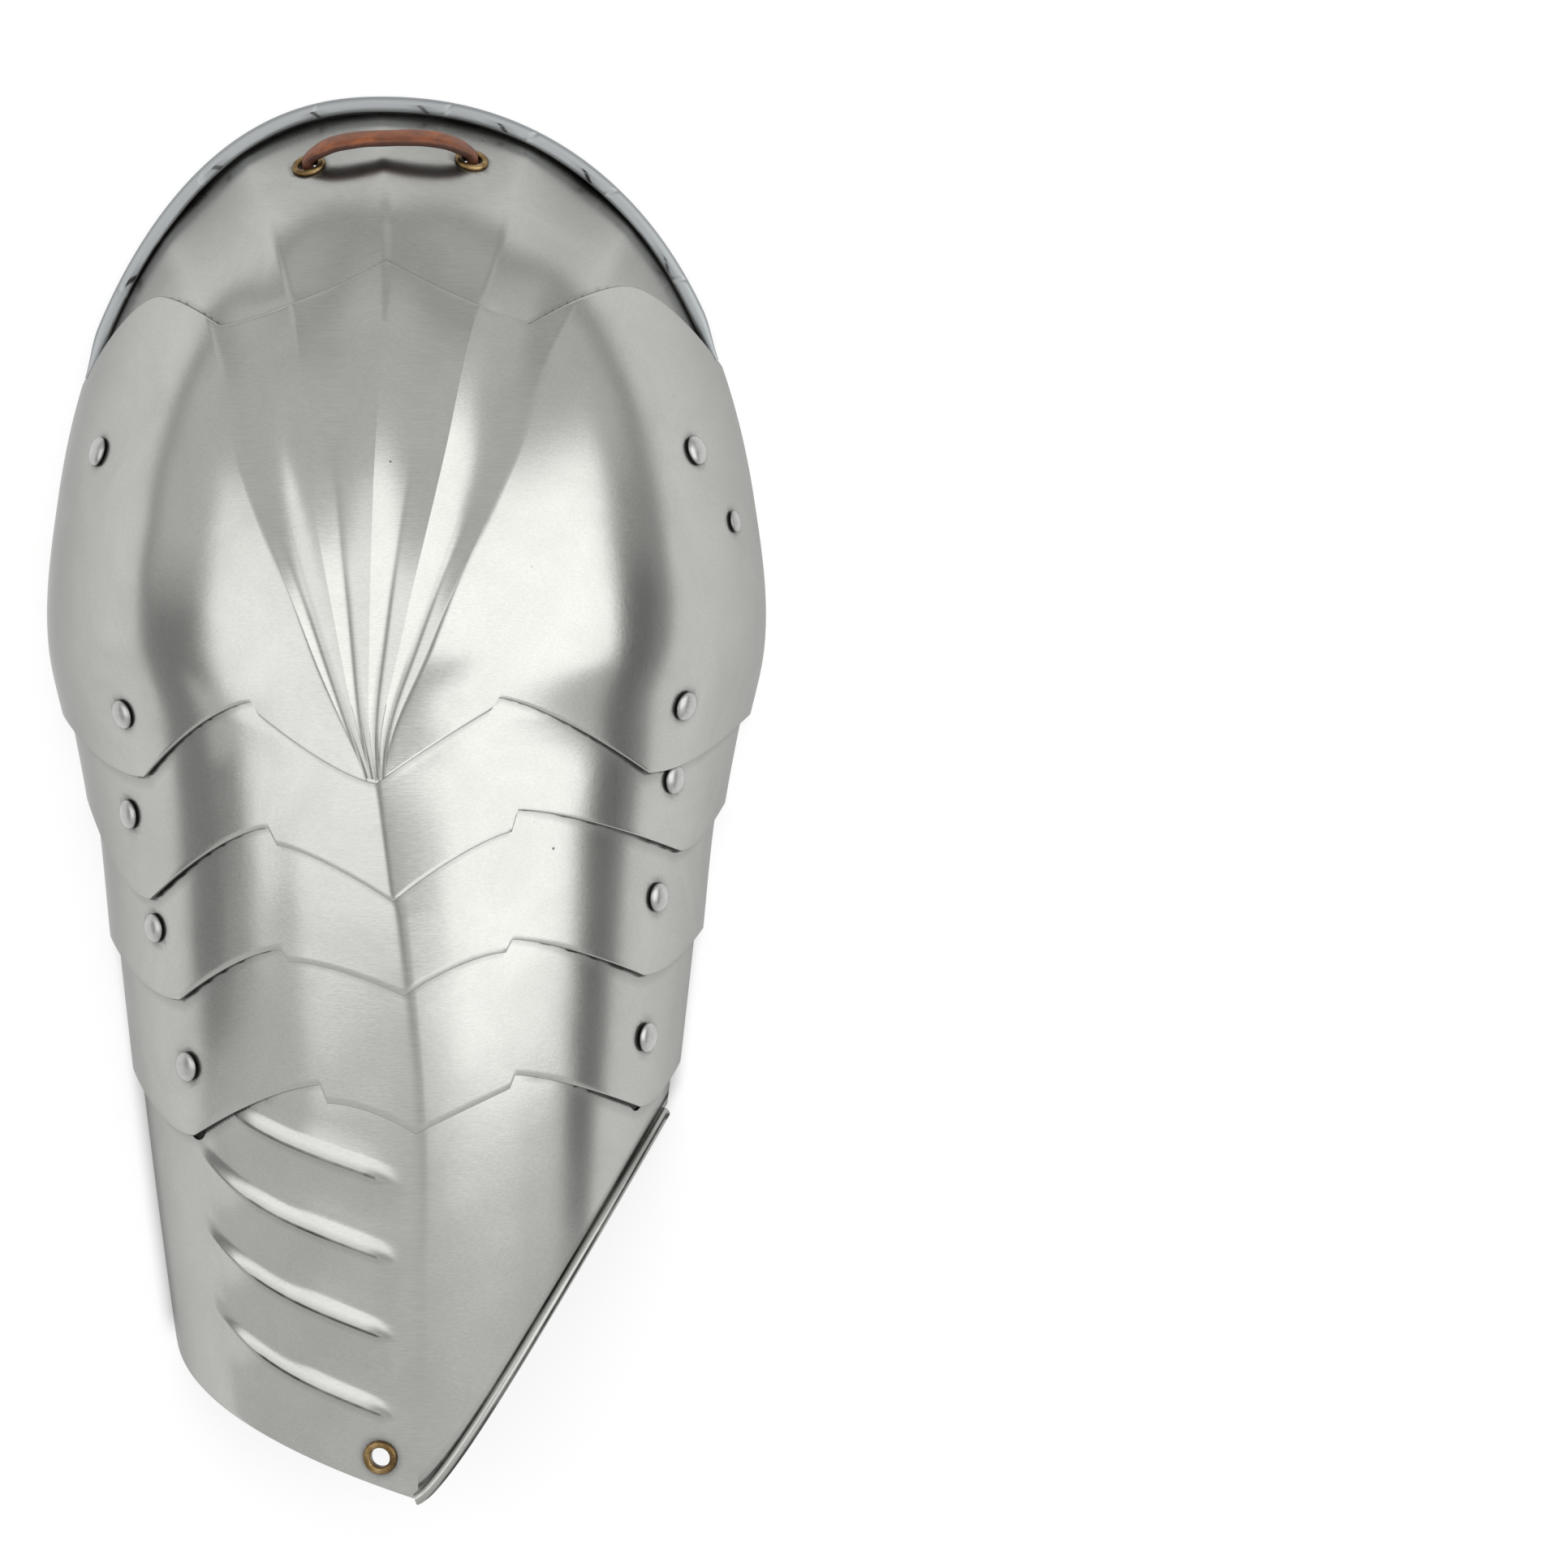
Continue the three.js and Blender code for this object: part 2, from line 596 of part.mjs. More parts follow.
const axisUp = new THREE.Vector3(0, 1, 0);

function stand(geometry, point, normal) {
  return geometry
    .applyQuaternion(new THREE.Quaternion().setFromUnitVectors(axisUp, normal))
    .translate(point.x, point.y, point.z);
}

function turned(profile, sides) {
  return new THREE.LatheGeometry(profile.map(([radius, height]) => new THREE.Vector2(radius, height)), sides);
}

// A domed head outside, a shank through the sheets and a flat tail inside, from the tail up. The rim of
// the tail clears the hollow that it stands in.
function rivetGeometry(head, rise, grip, tail) {
  const under = -grip - seatClearance - tail ** 2 / (2 * flankBend);
  const profile = [
    [0, under - tailThickness],
    [tail, under - tailThickness],
    [tail, under],
    [shankRadius, under],
    [shankRadius, seatClearance],
    ...headDome.map((at) => [head * at.radius, seatClearance + rise * at.height]),
  ];
  return turned(profile, roundSteps);
}

// A flanged ring, from its inner tail up
function eyeletGeometry() {
  const under = -sheetThickness - seatClearance;
  const profile = [
    [eyeletHoleRadius, under - eyeletFlangeHeight],
    [eyeletTailRadius, under - eyeletFlangeHeight],
    [eyeletTailRadius, under],
    [eyeletBarrelRadius, under],
    [eyeletBarrelRadius, seatClearance],
    ...flangeOutline.map((at) => [
      eyeletFlangeRadius * at.radius,
      seatClearance + eyeletFlangeHeight * at.height,
    ]),
    [eyeletHoleRadius, seatClearance + eyeletFlangeHeight * flangeLip],
    [eyeletHoleRadius, under - eyeletFlangeHeight],
  ];
  return turned(profile, ringSteps);
}

// Cutters run right through a plate: a round one and one for a slot
function boreSolid({ point, normal }, radius) {
  const barrel = new THREE.CylinderGeometry(radius, radius, 2 * cutReach, roundSteps);
  return solidOf(stand(barrel, point, normal));
}

function slotSolid({ point, normal }) {
  const along = new THREE.Vector3(0, -Math.cos(slideFall), -Math.sin(slideFall));
  const out = normal.clone().addScaledVector(along, -normal.dot(along)).normalize();
  const side = new THREE.Vector3().crossVectors(out, along);
  const outline = new THREE.Shape();
  outline.absarc(0, 0, slotHalfWidth, Math.PI / 2, (3 * Math.PI) / 2, false);
  outline.absarc(slotLength, 0, slotHalfWidth, -Math.PI / 2, Math.PI / 2, false);
  const cutter = new THREE.ExtrudeGeometry(outline, {
    depth: 2 * cutReach,
    bevelEnabled: false,
    curveSegments: quarterSteps,
  });
  cutter.translate(0, 0, -cutReach);
  cutter.applyMatrix4(new THREE.Matrix4().makeBasis(along, side, out).setPosition(point));
  return solidOf(cutter);
}

// The rolled rim lies outside the sheet's edge
function neckRoll() {
  const points = [];
  const start = lengthAt(mainTopEdge[0].along);
  const end = lengthAt(mainTopEdge.at(-1).along);
  const inset = layerPitch;
  const rayOf = (y, side) => {
    const { u, v } = shareOf(rimAt(y, side, inset), y, inset);
    return Math.atan2(u, v);
  };
  for (let n = 0; n <= neckRollSteps; n += 1) {
    const ray = lerp(rayOf(start + rollBack, -1), rayOf(end + rollBack, 1), n / neckRollSteps);
    const [x, y] = rayPoint(ray, 1 + (neckRollRadius * rollSeat) / neckReach, inset);
    points.push(new THREE.Vector3(x, y, rimLift + neckRollRadius));
  }
  return barSolid(points, neckRollRadius, neckRollRadius, neckRollSteps);
}

function armRoll() {
  const points = [];
  const inset = armLayer * layerPitch + sheetThickness / 2;
  for (let n = 0; n <= armRollSteps; n += 1) {
    const across = lerp(armRollFrom, armRollTo, n / armRollSteps);
    const y = edgeAt(armHem, across);
    const x = acrossAt(across, y, inset);
    const { normal } = skinAt({ across: x / halfWidth, along: alongAt(y), layer: armLayer });
    points.push(new THREE.Vector3(x, y, heightAt(x, y, inset, footOf(armLayer), true))
      .addScaledVector(normal, armRollRadius - sheetThickness / 2));
  }
  return barSolid(points, armRollRadius, armRollRadius, armRollSteps);
}

// The lace rises out of one eyelet, arches over the plate and goes down through the other
function loopSolid(places) {
  const ends = places.map(skinAt);
  const out = ends[0].normal.clone().add(ends[1].normal).normalize();
  const at = (end, height) => end.point.clone().addScaledVector(end.normal, height);
  const rising = (end) => [-loopTail, -loopTail / 2, loopShoulder.low].map((height) => at(end, height));
  const arch = loopStations.map((share) => {
    const rise = 1 - Math.abs(2 * share - 1) ** loopSquareness;
    return ends[0].point.clone().lerp(ends[1].point, share)
      .addScaledVector(out, lerp(loopShoulder.high, loopRise, rise));
  });
  const points = [...rising(ends[0]), ...arch, ...rising(ends[1]).reverse()];
  let lace = barSolid(points, loopHalfWidth, loopHalfThickness, laceSteps);
  for (const end of ends) {
    const knot = new THREE.SphereGeometry(knotRadius, roundSteps, roundSteps / 2);
    lace = lace.add(solidOf(stand(knot, at(end, -loopTail - knotRadius / 2), end.normal)));
  }
  return lace;
}

// Finishes
const steel = () => new THREE.MeshStandardMaterial({ color: 0xb8b9b5, roughness: 0.3, metalness: 1 });
const brass = () => new THREE.MeshStandardMaterial({ color: 0x9a7b45, roughness: 0.4, metalness: 1 });
const leather = () => new THREE.MeshStandardMaterial({ color: 0x6f3b22, roughness: 0.6, metalness: 0 });

const pauldron = new THREE.Group();

function addMesh(name, geometry, material) {
  const mesh = new THREE.Mesh(geometry, material);
  mesh.name = name;
  pauldron.add(mesh);
}

// Holes go through the plate under a head and through the one below it
const plates = [
  { name: 'main_plate', solid: mainSolid() },
  { name: 'lame_a', topEdge: lameATopEdge, solid: lameSolid(lameATopEdge, lameAHem, 1) },
  { name: 'lame_b', topEdge: lameBTopEdge, solid: lameSolid(lameBTopEdge, lameBHem, 2) },
  { name: 'lame_c', topEdge: lameCTopEdge, solid: lameSolid(lameCTopEdge, lameCHem, 3) },
  { name: 'arm_plate', topEdge: armTopEdge, solid: armSolid().add(armRoll()) },
];
const top = { name: 'top_plate', solid: neckSolid().add(neckRoll()) };
const arm = plates.at(-1);

// From the skin under a rivet's head to its tail's seat inside the plate that it holds
function gripAt(place, inner) {
  const flat = layerPitch + sheetThickness + swingClearance;
  if (!inner.topEdge) return flat;
  return flat + tuckAt(edgeAt(inner.topEdge, Math.sign(place.across)) - lengthAt(place.along));
}

for (const place of rivetPlaces) {
  const seat = skinAt(place);
  const outer = plates[place.layer];
  const inner = place.along > 0 ? top : plates[place.layer + 1];
  const slotted = inner === arm;
  const bore = boreSolid(seat, shankRadius + boreClearance);
  outer.solid = outer.solid.subtract(bore);
  inner.solid = inner.solid.subtract(slotted ? slotSolid(seat) : bore);
  const tail = slotted ? washerRadius : tailRadius;
  const rivet = rivetGeometry(headRadius, headHeight, gripAt(place, inner), tail);
  addMesh(place.name, stand(rivet, seat.point, seat.normal), steel());
}

const strapSeat = skinAt(strapRivetPlace);
plates[0].solid = plates[0].solid.subtract(boreSolid(strapSeat, shankRadius + boreClearance));
const strapRivet = rivetGeometry(strapHeadRadius, strapHeadHeight, sheetThickness, strapTailRadius);
addMesh(strapRivetPlace.name, stand(strapRivet, strapSeat.point, strapSeat.normal), steel());

for (const place of eyeletPlaces) {
  const seat = skinAt(place);
  const holder = place.along > 0 ? top : arm;
  holder.solid = holder.solid.subtract(boreSolid(seat, eyeletBarrelRadius + boreClearance));
  addMesh(place.name, stand(eyeletGeometry(), seat.point, seat.normal), brass());
}
addMesh('leather_loop', geometryOf(loopSolid(eyeletPlaces.slice(0, 2))), leather());

for (const { name, solid } of [top, ...plates]) addMesh(name, geometryOf(solid), steel());

// Stood on the table, centred over the origin
const box = new THREE.Box3().setFromObject(pauldron);
pauldron.position.set(-(box.min.x + box.max.x) / 2, -(box.min.y + box.max.y) / 2, -box.min.z);

export default pauldron;
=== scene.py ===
import math

import bmesh
import bpy
import numpy as np
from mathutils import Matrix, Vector


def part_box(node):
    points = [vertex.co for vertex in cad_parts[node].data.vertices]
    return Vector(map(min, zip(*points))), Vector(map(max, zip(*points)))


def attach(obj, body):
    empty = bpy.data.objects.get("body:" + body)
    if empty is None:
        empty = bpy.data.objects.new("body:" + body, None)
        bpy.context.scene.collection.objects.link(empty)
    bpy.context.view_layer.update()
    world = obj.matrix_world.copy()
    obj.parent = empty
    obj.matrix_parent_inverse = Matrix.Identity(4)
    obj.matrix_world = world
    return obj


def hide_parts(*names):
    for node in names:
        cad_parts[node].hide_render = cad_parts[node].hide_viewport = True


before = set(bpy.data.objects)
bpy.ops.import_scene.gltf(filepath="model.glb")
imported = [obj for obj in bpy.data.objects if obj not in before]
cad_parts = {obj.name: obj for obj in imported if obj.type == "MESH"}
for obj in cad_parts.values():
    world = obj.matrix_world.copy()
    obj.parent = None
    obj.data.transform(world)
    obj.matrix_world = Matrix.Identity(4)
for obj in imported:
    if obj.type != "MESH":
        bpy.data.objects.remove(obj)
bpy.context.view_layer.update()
mm = 0.001

# The hammered form, in millimetres. Length 0 crosses the highest point of the dome.
form = {
    "halfWidth": 97.5,
    "neckReach": 149.0,
    "armReach": 227.4,
    "crownHeight": 90.0,
    "squareness": 2.2,
    "flankSlope": math.radians(80),
    "neckSlope": math.radians(62),
    "keelShare": 0.12,
    "creaseOnset": 0.15,
    "reliefFade": 12,
    "sheet": 1.2,
    "layerPitch": 2.2,
    "rimLift": 0.6,
    "armLayer": 4,
    "tuckDepth": 0.9,
    "tuckReach": 14.0,
}

# Shares of the reaches, the half width and the crown height, from the neck to the tip
spine = {
    "along": [1.0, 0.69, 0.28, 0, -0.1, -0.2, -0.35, -0.55, -0.82, -1.0],
    "half": [1.0, 1.0, 1.0, 1.0, 0.95, 0.908, 0.871, 0.818, 0.735, 0.668],
    "top": [1.0, 1.0, 1.0, 1.0, 0.976, 0.944, 0.88, 0.786, 0.665, 0.586],
    "keel": [-0.072, -0.026, -0.044, -0.052, -0.053, -0.024, 0.018, 0.056, 0.05, 0.046],
}

# The fan of flutes: half width from the keel and share of the full depth
flutes = {
    "along": [1.0, 0.88, 0.77, 0.56, 0.33, 0, -0.15, -1.0],
    "half": [0.94, 0.77, 0.656, 0.477, 0.372, 0.166, 0.032, 0.032],
    "share": [0.6, 0.8, 0.95, 1.0, 0.85, 0.36, 0, 0],
    "depth": 3.0,
    "count": 4,
    "rimFade": 50,
}

# Embossed ribs of the arm plate, on the left of its keel
ribs = {
    "height": 1.5,
    "count": 4,
    "pitch": 21.2,
    "start": 144.8,
    "sweep": 30.6,
    "hook": 0.35,  # part of the sweep that comes near the outer end
    "hookPower": 5,
    "onset": 5.5,
    "runout": 12.0,
    "onsetPower": 1.6,
    "runoutPower": 2.0,
    "span": 0.8,
    "keelEnd": 0.03,
    "full": 0.26,
    "fade": 0.26,
    "firstEnd": 0.93,
    "end": 1.1,
}

# Edges from the left rim to the right: place across, length and the bend of the stretch that follows
edges = {
    "mainTop": [(-1, 0.485, -2.2), (-0.81, 0.632, 1.4), (-0.545, 0.569, 1.3), (0, 0.684, -1.15),
                (0.445, 0.571, -1.4), (0.79, 0.651, 2.2), (1, 0.519, 1)],
    "mainHem": [(-1, -0.079, -2), (-0.736, -0.1535, -1.5), (-0.351, -0.0677, 1), (-0.331, -0.0835, -1.4),
                (0, -0.162, 1), (0.32, -0.077, 1), (0.338, -0.0629, 1.35), (0.753, -0.1486, 2),
                (1, -0.079, 1)],
    "lameAHem": [(-1, -0.18, -2), (-0.794, -0.2968, -1.5), (-0.366, -0.2124, 1), (-0.345, -0.2331, 1.4),
                 (0, -0.298, -1.25), (0.38, -0.2172, 1), (0.4, -0.1917, 1.5), (0.885, -0.2405, 2),
                 (1, -0.185, 1)],
    "lameBHem": [(-1, -0.3448, -2), (-0.755, -0.4151, -1.5), (-0.387, -0.3536, 1), (-0.367, -0.3677, 1.6),
                 (0, -0.4068, -1.5), (0.355, -0.3571, 1), (0.377, -0.3421, 1.5), (0.818, -0.387, 2),
                 (1, -0.3351, 1)],
    "lameCHem": [(-1, -0.504, -2), (-0.783, -0.5761, -1.5), (-0.315, -0.5123, 1), (-0.295, -0.5334, 1.8),
                 (0, -0.5682, 1), (0.367, -0.5167, 1), (0.387, -0.5009, 1.5), (0.869, -0.544, 2),
                 (1, -0.4952, 1)],
    "armHem": [(-1, -0.827, 0.5), (0, -1.0, 1.35), (1, -0.545, 1)],
    "lameATop": [(-1, -0.026, 1), (-0.4, -0.026, 1), (0, -0.1, 1), (0.4, -0.022, 1), (1, -0.022, 1)],
    "lameBTop": [(-1, -0.165, 1), (1, -0.123, 1)],
    "lameCTop": [(-1, -0.295, 1), (1, -0.26, 1)],
    "armTop": [(-1, -0.449, 1), (1, -0.425, 1)],
}


def lengthAt(along):
    along = np.asarray(along, float)
    return along * np.where(along > 0, form["neckReach"], form["armReach"])


def shareAlong(y):
    return y / np.where(y > 0, form["neckReach"], form["armReach"])


def smoothStep(value, low, high):
    t = np.clip((value - low) / (high - low), 0, 1)
    return t * t * (3 - 2 * t)


# Smooth curve through one column of a table
def follow(table, column, y):
    places = lengthAt(table["along"])
    values = np.array(table[column], float)
    at = np.clip(y, places[-1], places[0])
    k = np.clip(np.searchsorted(-places, -at, side="left") - 1, 0, len(places) - 2)
    rates = np.diff(values) / np.diff(places)
    slopes = np.concatenate([rates[:1], (rates[:-1] + rates[1:]) / 2, rates[-1:]])
    span = places[k + 1] - places[k]
    u = (at - places[k]) / span
    rise = values[k + 1] - values[k]
    early = slopes[k] * span - rise
    late = rise - slopes[k + 1] * span
    return values[k] + u * rise + u * (1 - u) * ((1 - u) * early + u * late)


def edgeAt(name, across):
    places, along, bends = np.array(edges[name], float).T
    across = np.asarray(across, float)
    k = np.clip(np.searchsorted(places, across, side="left") - 1, 0, len(places) - 2)
    u = np.clip((across - places[k]) / (places[k + 1] - places[k]), 0, 1)
    bend = np.abs(bends[k])
    eased = np.where(bends[k] > 0, u ** bend, 1 - (1 - u) ** bend)
    lengths = lengthAt(along)
    return lengths[k] + (lengths[k + 1] - lengths[k]) * eased


def keelAt(y):
    return form["halfWidth"] * follow(spine, "keel", y)


def fanAt(y):
    return form["halfWidth"] * follow(flutes, "half", y)


def sideAt(y, side, inset):
    return side * (form["halfWidth"] * follow(spine, "half", y) - inset) - keelAt(y)


def shareOf(x, y, inset):
    offKeel = x - keelAt(y)
    u = offKeel / np.abs(sideAt(y, np.where(offKeel < 0, -1, 1), inset))
    v = np.maximum(y, 0) / (form["neckReach"] - inset)
    return u, v, (np.abs(u) ** form["squareness"] + v ** form["squareness"]) ** (1 / form["squareness"])


def rimAt(y, side, inset):
    v = np.clip(np.maximum(y, 0) / (form["neckReach"] - inset), 0, 1)
    return keelAt(y) + sideAt(y, side, inset) * (1 - v ** form["squareness"]) ** (1 / form["squareness"])


def bulge(r, slope):
    reach = np.sin(slope) * np.minimum(r, 1)
    return (np.sqrt(1 - reach * reach) - np.cos(slope)) / (1 - np.cos(slope))


def fluteDrop(x, y, r):
    p = (x - keelAt(y)) / fanAt(y)
    valley = np.where(np.abs(p) < 1, np.abs(np.sin(math.pi * flutes["count"] * p / 2)), 0)
    return flutes["depth"] * np.maximum(follow(flutes, "share", y), 0) * valley * (1 - r ** flutes["rimFade"])


def ribEdge(k, across):
    reach = np.maximum(-across / ribs["span"], 0)
    hooked = np.minimum(reach, 1) ** ribs["hookPower"]
    climb = reach + (hooked - reach) * ribs["hook"]
    return -ribs["start"] - k * ribs["pitch"] + ribs["sweep"] * climb


def ribRise(across, y):
    reach = -across / ribs["span"]
    rise = np.zeros(np.broadcast(across, y).shape)
    for k in range(ribs["count"]):
        end = ribs["end"] if k else ribs["firstEnd"]
        fade = smoothStep(reach, ribs["keelEnd"], ribs["full"])
        fade = fade * (1 - smoothStep(reach, end - ribs["fade"], end))
        past = y - ribEdge(k, across)
        onset = np.clip(1 - past / ribs["onset"], 0, 1) ** ribs["onsetPower"] * (past >= 0)
        runout = np.clip(1 + past / ribs["runout"], 0, 1) ** ribs["runoutPower"] * (past < 0)
        rise = rise + fade * (onset + runout)
    return ribs["height"] * rise


# The keel of the lower plates has a narrow flat on its right
keelFlat = {"from": -0.28, "full": -0.31, "width": 2.2, "turn": math.radians(6.5), "settle": 9.0}


def keelRise(x, y):
    off = np.maximum(x - keelAt(y), 0)
    reach = np.minimum(off, keelFlat["width"])
    settle = np.exp(-np.maximum(off - keelFlat["width"], 0) / keelFlat["settle"])
    grown = smoothStep(shareAlong(y), keelFlat["from"], keelFlat["full"])
    return reach * math.tan(keelFlat["turn"]) * settle * grown


def heightAt(x, y, inset, foot, ribbed=False):
    u, v, r = shareOf(x, y, inset)
    turn = np.where(r > 0, (v / np.maximum(r, 1e-9)) ** 2, 0)
    slope = form["flankSlope"] + (form["neckSlope"] - form["flankSlope"]) * turn
    crease = form["keelShare"] * smoothStep(-shareAlong(y), 0, form["creaseOnset"])
    top = form["crownHeight"] * follow(spine, "top", y) - inset - foot
    shape = (1 - crease) * bulge(r, slope) + crease * (1 - np.minimum(np.abs(u), 1))
    raised = ribRise(u, y) * (1 - np.minimum(r, 1) ** form["reliefFade"]) if ribbed else 0
    return foot + top * shape - fluteDrop(x, y, np.minimum(r, 1)) + raised + keelRise(x, y)


def footOf(layer):
    return 0 if layer in (0, form["armLayer"]) else form["rimLift"]


# The frame's origin lies at the middle of the footprint: the second lame's lowest hem point tells how far
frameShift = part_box("lame_b")[0].y / mm - float(lengthAt(min(row[1] for row in edges["lameBHem"])))


def toFrame(points):
    moved = np.array(points, float)
    moved[..., 1] += frameShift
    return moved * mm


# Slow dents that planishing leaves, as a sum of a few waves
planish = {"seed": 7, "waves": 14, "longest": 46.0, "shortest": 15.0, "height": 0.05, "from": 4, "full": 14}


def planishAt(x, y, seed):
    rng = np.random.default_rng(planish["seed"] + seed)
    total = np.zeros(np.broadcast(x, y).shape)
    for _ in range(planish["waves"]):
        turn = rng.uniform(0, math.pi)
        length = rng.uniform(planish["shortest"], planish["longest"])
        phase = rng.uniform(0, 2 * math.pi)
        weight = length / planish["longest"]
        total += weight * np.sin((x * math.cos(turn) + y * math.sin(turn)) * 2 * math.pi / length + phase)
    return planish["height"] * total / math.sqrt(planish["waves"] / 2)


# Meshes

smoothAngles = {"sheet": 38, "turned": 50, "lace": 60}


def meshObject(name, vertices, faces, smoothAngle=smoothAngles["sheet"]):
    mesh = bpy.data.meshes.new(name)
    mesh.from_pydata([tuple(v) for v in vertices], [], faces)
    mesh.validate()
    work = bmesh.new()
    work.from_mesh(mesh)
    bmesh.ops.recalc_face_normals(work, faces=work.faces)
    work.to_mesh(mesh)
    work.free()
    mesh.polygons.foreach_set("use_smooth", [True] * len(mesh.polygons))
    mesh.set_sharp_from_angle(angle=math.radians(smoothAngle))
    piece = bpy.data.objects.new(name, mesh)
    bpy.context.scene.collection.objects.link(piece)
    return piece


sheetEdge = {"round": 0.28, "steps": 3, "shortest": 1.0}


# A sheet from a plan: place(column, row, inset) gives x, y and the inset there. Rows run from 0 to 1.
def sheetMesh(name, columns, rows, layer, place, ribbed=False, seed=0):
    soft = sheetEdge["round"]
    quarter = np.linspace(0, math.pi / 2, sheetEdge["steps"] + 1)
    outer = layer * form["layerPitch"]
    inner = outer + form["sheet"]
    foot = footOf(layer)

    def at(inset, share):
        x, y, deep = np.broadcast_arrays(*place(columns[:, None], share, inset))
        dented = smoothStep(heightAt(x, y, deep, foot), planish["from"], planish["full"])
        return np.stack([x, y, heightAt(x, y, deep, foot, ribbed) + planishAt(x, y, seed) * dented], -1)

    # The length of one row step differs with the column, so the rounding is measured on the plan
    x0, y0, _ = place(columns[:, None], np.array([[0.0]]), outer)
    x1, y1, _ = place(columns[:, None], np.array([[1.0]]), outer)
    span = np.maximum(np.hypot(x1 - x0, y1 - y0), sheetEdge["shortest"])

    near = soft / span
    far = 1 - soft / span
    inside = near + (far - near) * rows[None, :]
    ring = []
    # down the outer skin, round the far edge, back up the inner skin and round the near edge
    for skin, turn, other, rows, edge, outward in ((outer, 1, inner, inside, far, near),
                                                   (inner, -1, outer, inside[:, ::-1], near, -near)):
        ring.append(at(skin, rows))
        for angle in quarter[1:]:
            ring.append(at(skin + turn * soft * (1 - math.cos(angle)), edge + outward * math.sin(angle)))
        for angle in quarter[::-1][:-1]:
            ring.append(at(other - turn * soft * (1 - math.cos(angle)), edge + outward * math.sin(angle)))
    rings = np.concatenate(ring, axis=1)
    count, around = rings.shape[:2]
    index = np.arange(count * around).reshape(count, around)
    following = np.roll(index, -1, axis=1)
    quads = np.stack([index[:-1], following[:-1], following[1:], index[1:]], -1).reshape(-1, 4).tolist()
    for end in (0, count - 1):  # the flank rims close as a ladder from skin to skin
        loop = index[end]
        low, high = 0, around - 1
        while high - low > 2:
            quads.append([int(loop[low]), int(loop[low + 1]), int(loop[high - 1]), int(loop[high])])
            low += 1
            high -= 1
        if high - low == 2:
            quads.append([int(loop[low]), int(loop[low + 1]), int(loop[high])])
    return meshObject(name, toFrame(rings).reshape(-1, 3), quads)


def acrossAt(across, y, inset):
    return keelAt(y) + np.abs(across) * sideAt(y, np.where(across < 0, -1, 1), inset)


def tuckAt(fromEdge):
    return form["tuckDepth"] * np.clip(1 - fromEdge / form["tuckReach"], 0, None)


# Steps that lie closer where the section bends more
def stepAcross(start, end, part):
    turnOf = np.arcsin(np.array([start, end]) * math.sin(form["flankSlope"]))
    return np.sin(turnOf[0] + (turnOf[1] - turnOf[0]) * part) / math.sin(form["flankSlope"])


detail = {"hemSteps": [22, 30, 3, 26, 24, 3, 30, 22], "lameRows": 34, "flute": 18, "mainRows": 150,
          "neckRows": 56, "grooveRows": (0.004, 0.07, 18), "earSteps": 34, "armColumns": 84,
          "narrowest": 0.012, "solveRounds": 40}


def hemColumns(name):
    corners = [row[0] for row in edges[name]]
    columns = [np.array([-1.0])]
    for k, steps in enumerate(detail["hemSteps"]):
        columns.append(stepAcross(corners[k], corners[k + 1], np.arange(1, steps + 1) / steps))
    return np.concatenate(columns)


def lamePlate(name, topName, hemName, layer, seed):
    def place(across, row, inset):
        top = edgeAt(topName, across)
        y = top + (edgeAt(hemName, across) - top) * row
        deep = inset + tuckAt(top - y)
        return acrossAt(across, y, deep), y, deep

    rows = np.linspace(0, 1, detail["lameRows"])
    return sheetMesh(name, hemColumns(hemName), rows, layer, place, seed=seed)


def mainPlate():
    hem = hemColumns("mainHem")
    y = edgeAt("mainHem", hem)
    reach = np.abs(rimAt(y, np.sign(hem), 0) - keelAt(y))
    part = (np.abs(hem) * reach - fanAt(y)) / (reach - fanAt(y))
    flank = np.sign(hem) * part
    keep = part > detail["narrowest"]
    fluted = np.linspace(-1, 1, flutes["count"] * detail["flute"] + 1)
    # Columns below -1 and above 1 lie beside the fan, the others on it
    columns = np.concatenate([flank[keep & (hem < 0)] - 1, fluted, flank[keep & (hem > 0)] + 1])

    def across(column, y, inset):
        side = np.sign(column)
        beside = np.abs(column) - 1
        edge = keelAt(y) + side * fanAt(y)
        onFlank = edge + (rimAt(y, side, inset) - edge) * np.clip(beside, 0, 1)
        return np.where(beside > 0, onFlank, keelAt(y) + fanAt(y) * column)

    def meet(edgeName, column, inset):
        middle = edges[edgeName][len(edges[edgeName]) // 2]
        y = np.full(column.shape, float(lengthAt(middle[1])))
        for _ in range(detail["solveRounds"]):
            x = across(column, y, inset)
            rim = rimAt(y, np.where(x < keelAt(y), -1, 1), inset)
            y = (y + edgeAt(edgeName, (x - keelAt(y)) / np.abs(rim - keelAt(y)))) / 2
        return y

    def place(column, row, inset):
        top = meet("mainTop", column, inset)
        hemLine = meet("mainHem", column, inset)
        y = top + (hemLine - top) * row
        return across(np.broadcast_to(column, y.shape), y, inset), y, np.full(y.shape, inset)

    return sheetMesh("mainPlateSheet", columns, np.linspace(0, 1, detail["mainRows"]), 0, place, seed=1)


neckEar = {"ray": math.radians(74), "innerMiddle": 0.52, "innerEar": 0.79, "tuckFrom": 0.8}


def rayPoint(ray, share, inset):
    power = form["squareness"]
    size = (np.abs(np.sin(ray)) ** power + np.cos(ray) ** power) ** (1 / power)
    y = share * np.cos(ray) / size * (form["neckReach"] - inset)
    x = keelAt(y) + share * np.abs(np.sin(ray)) / size * sideAt(y, np.where(ray < 0, -1, 1), inset)
    return x, y


def innerShare(ray):
    part = np.abs(ray) / neckEar["ray"]
    return neckEar["innerMiddle"] + (neckEar["innerEar"] - neckEar["innerMiddle"]) * part


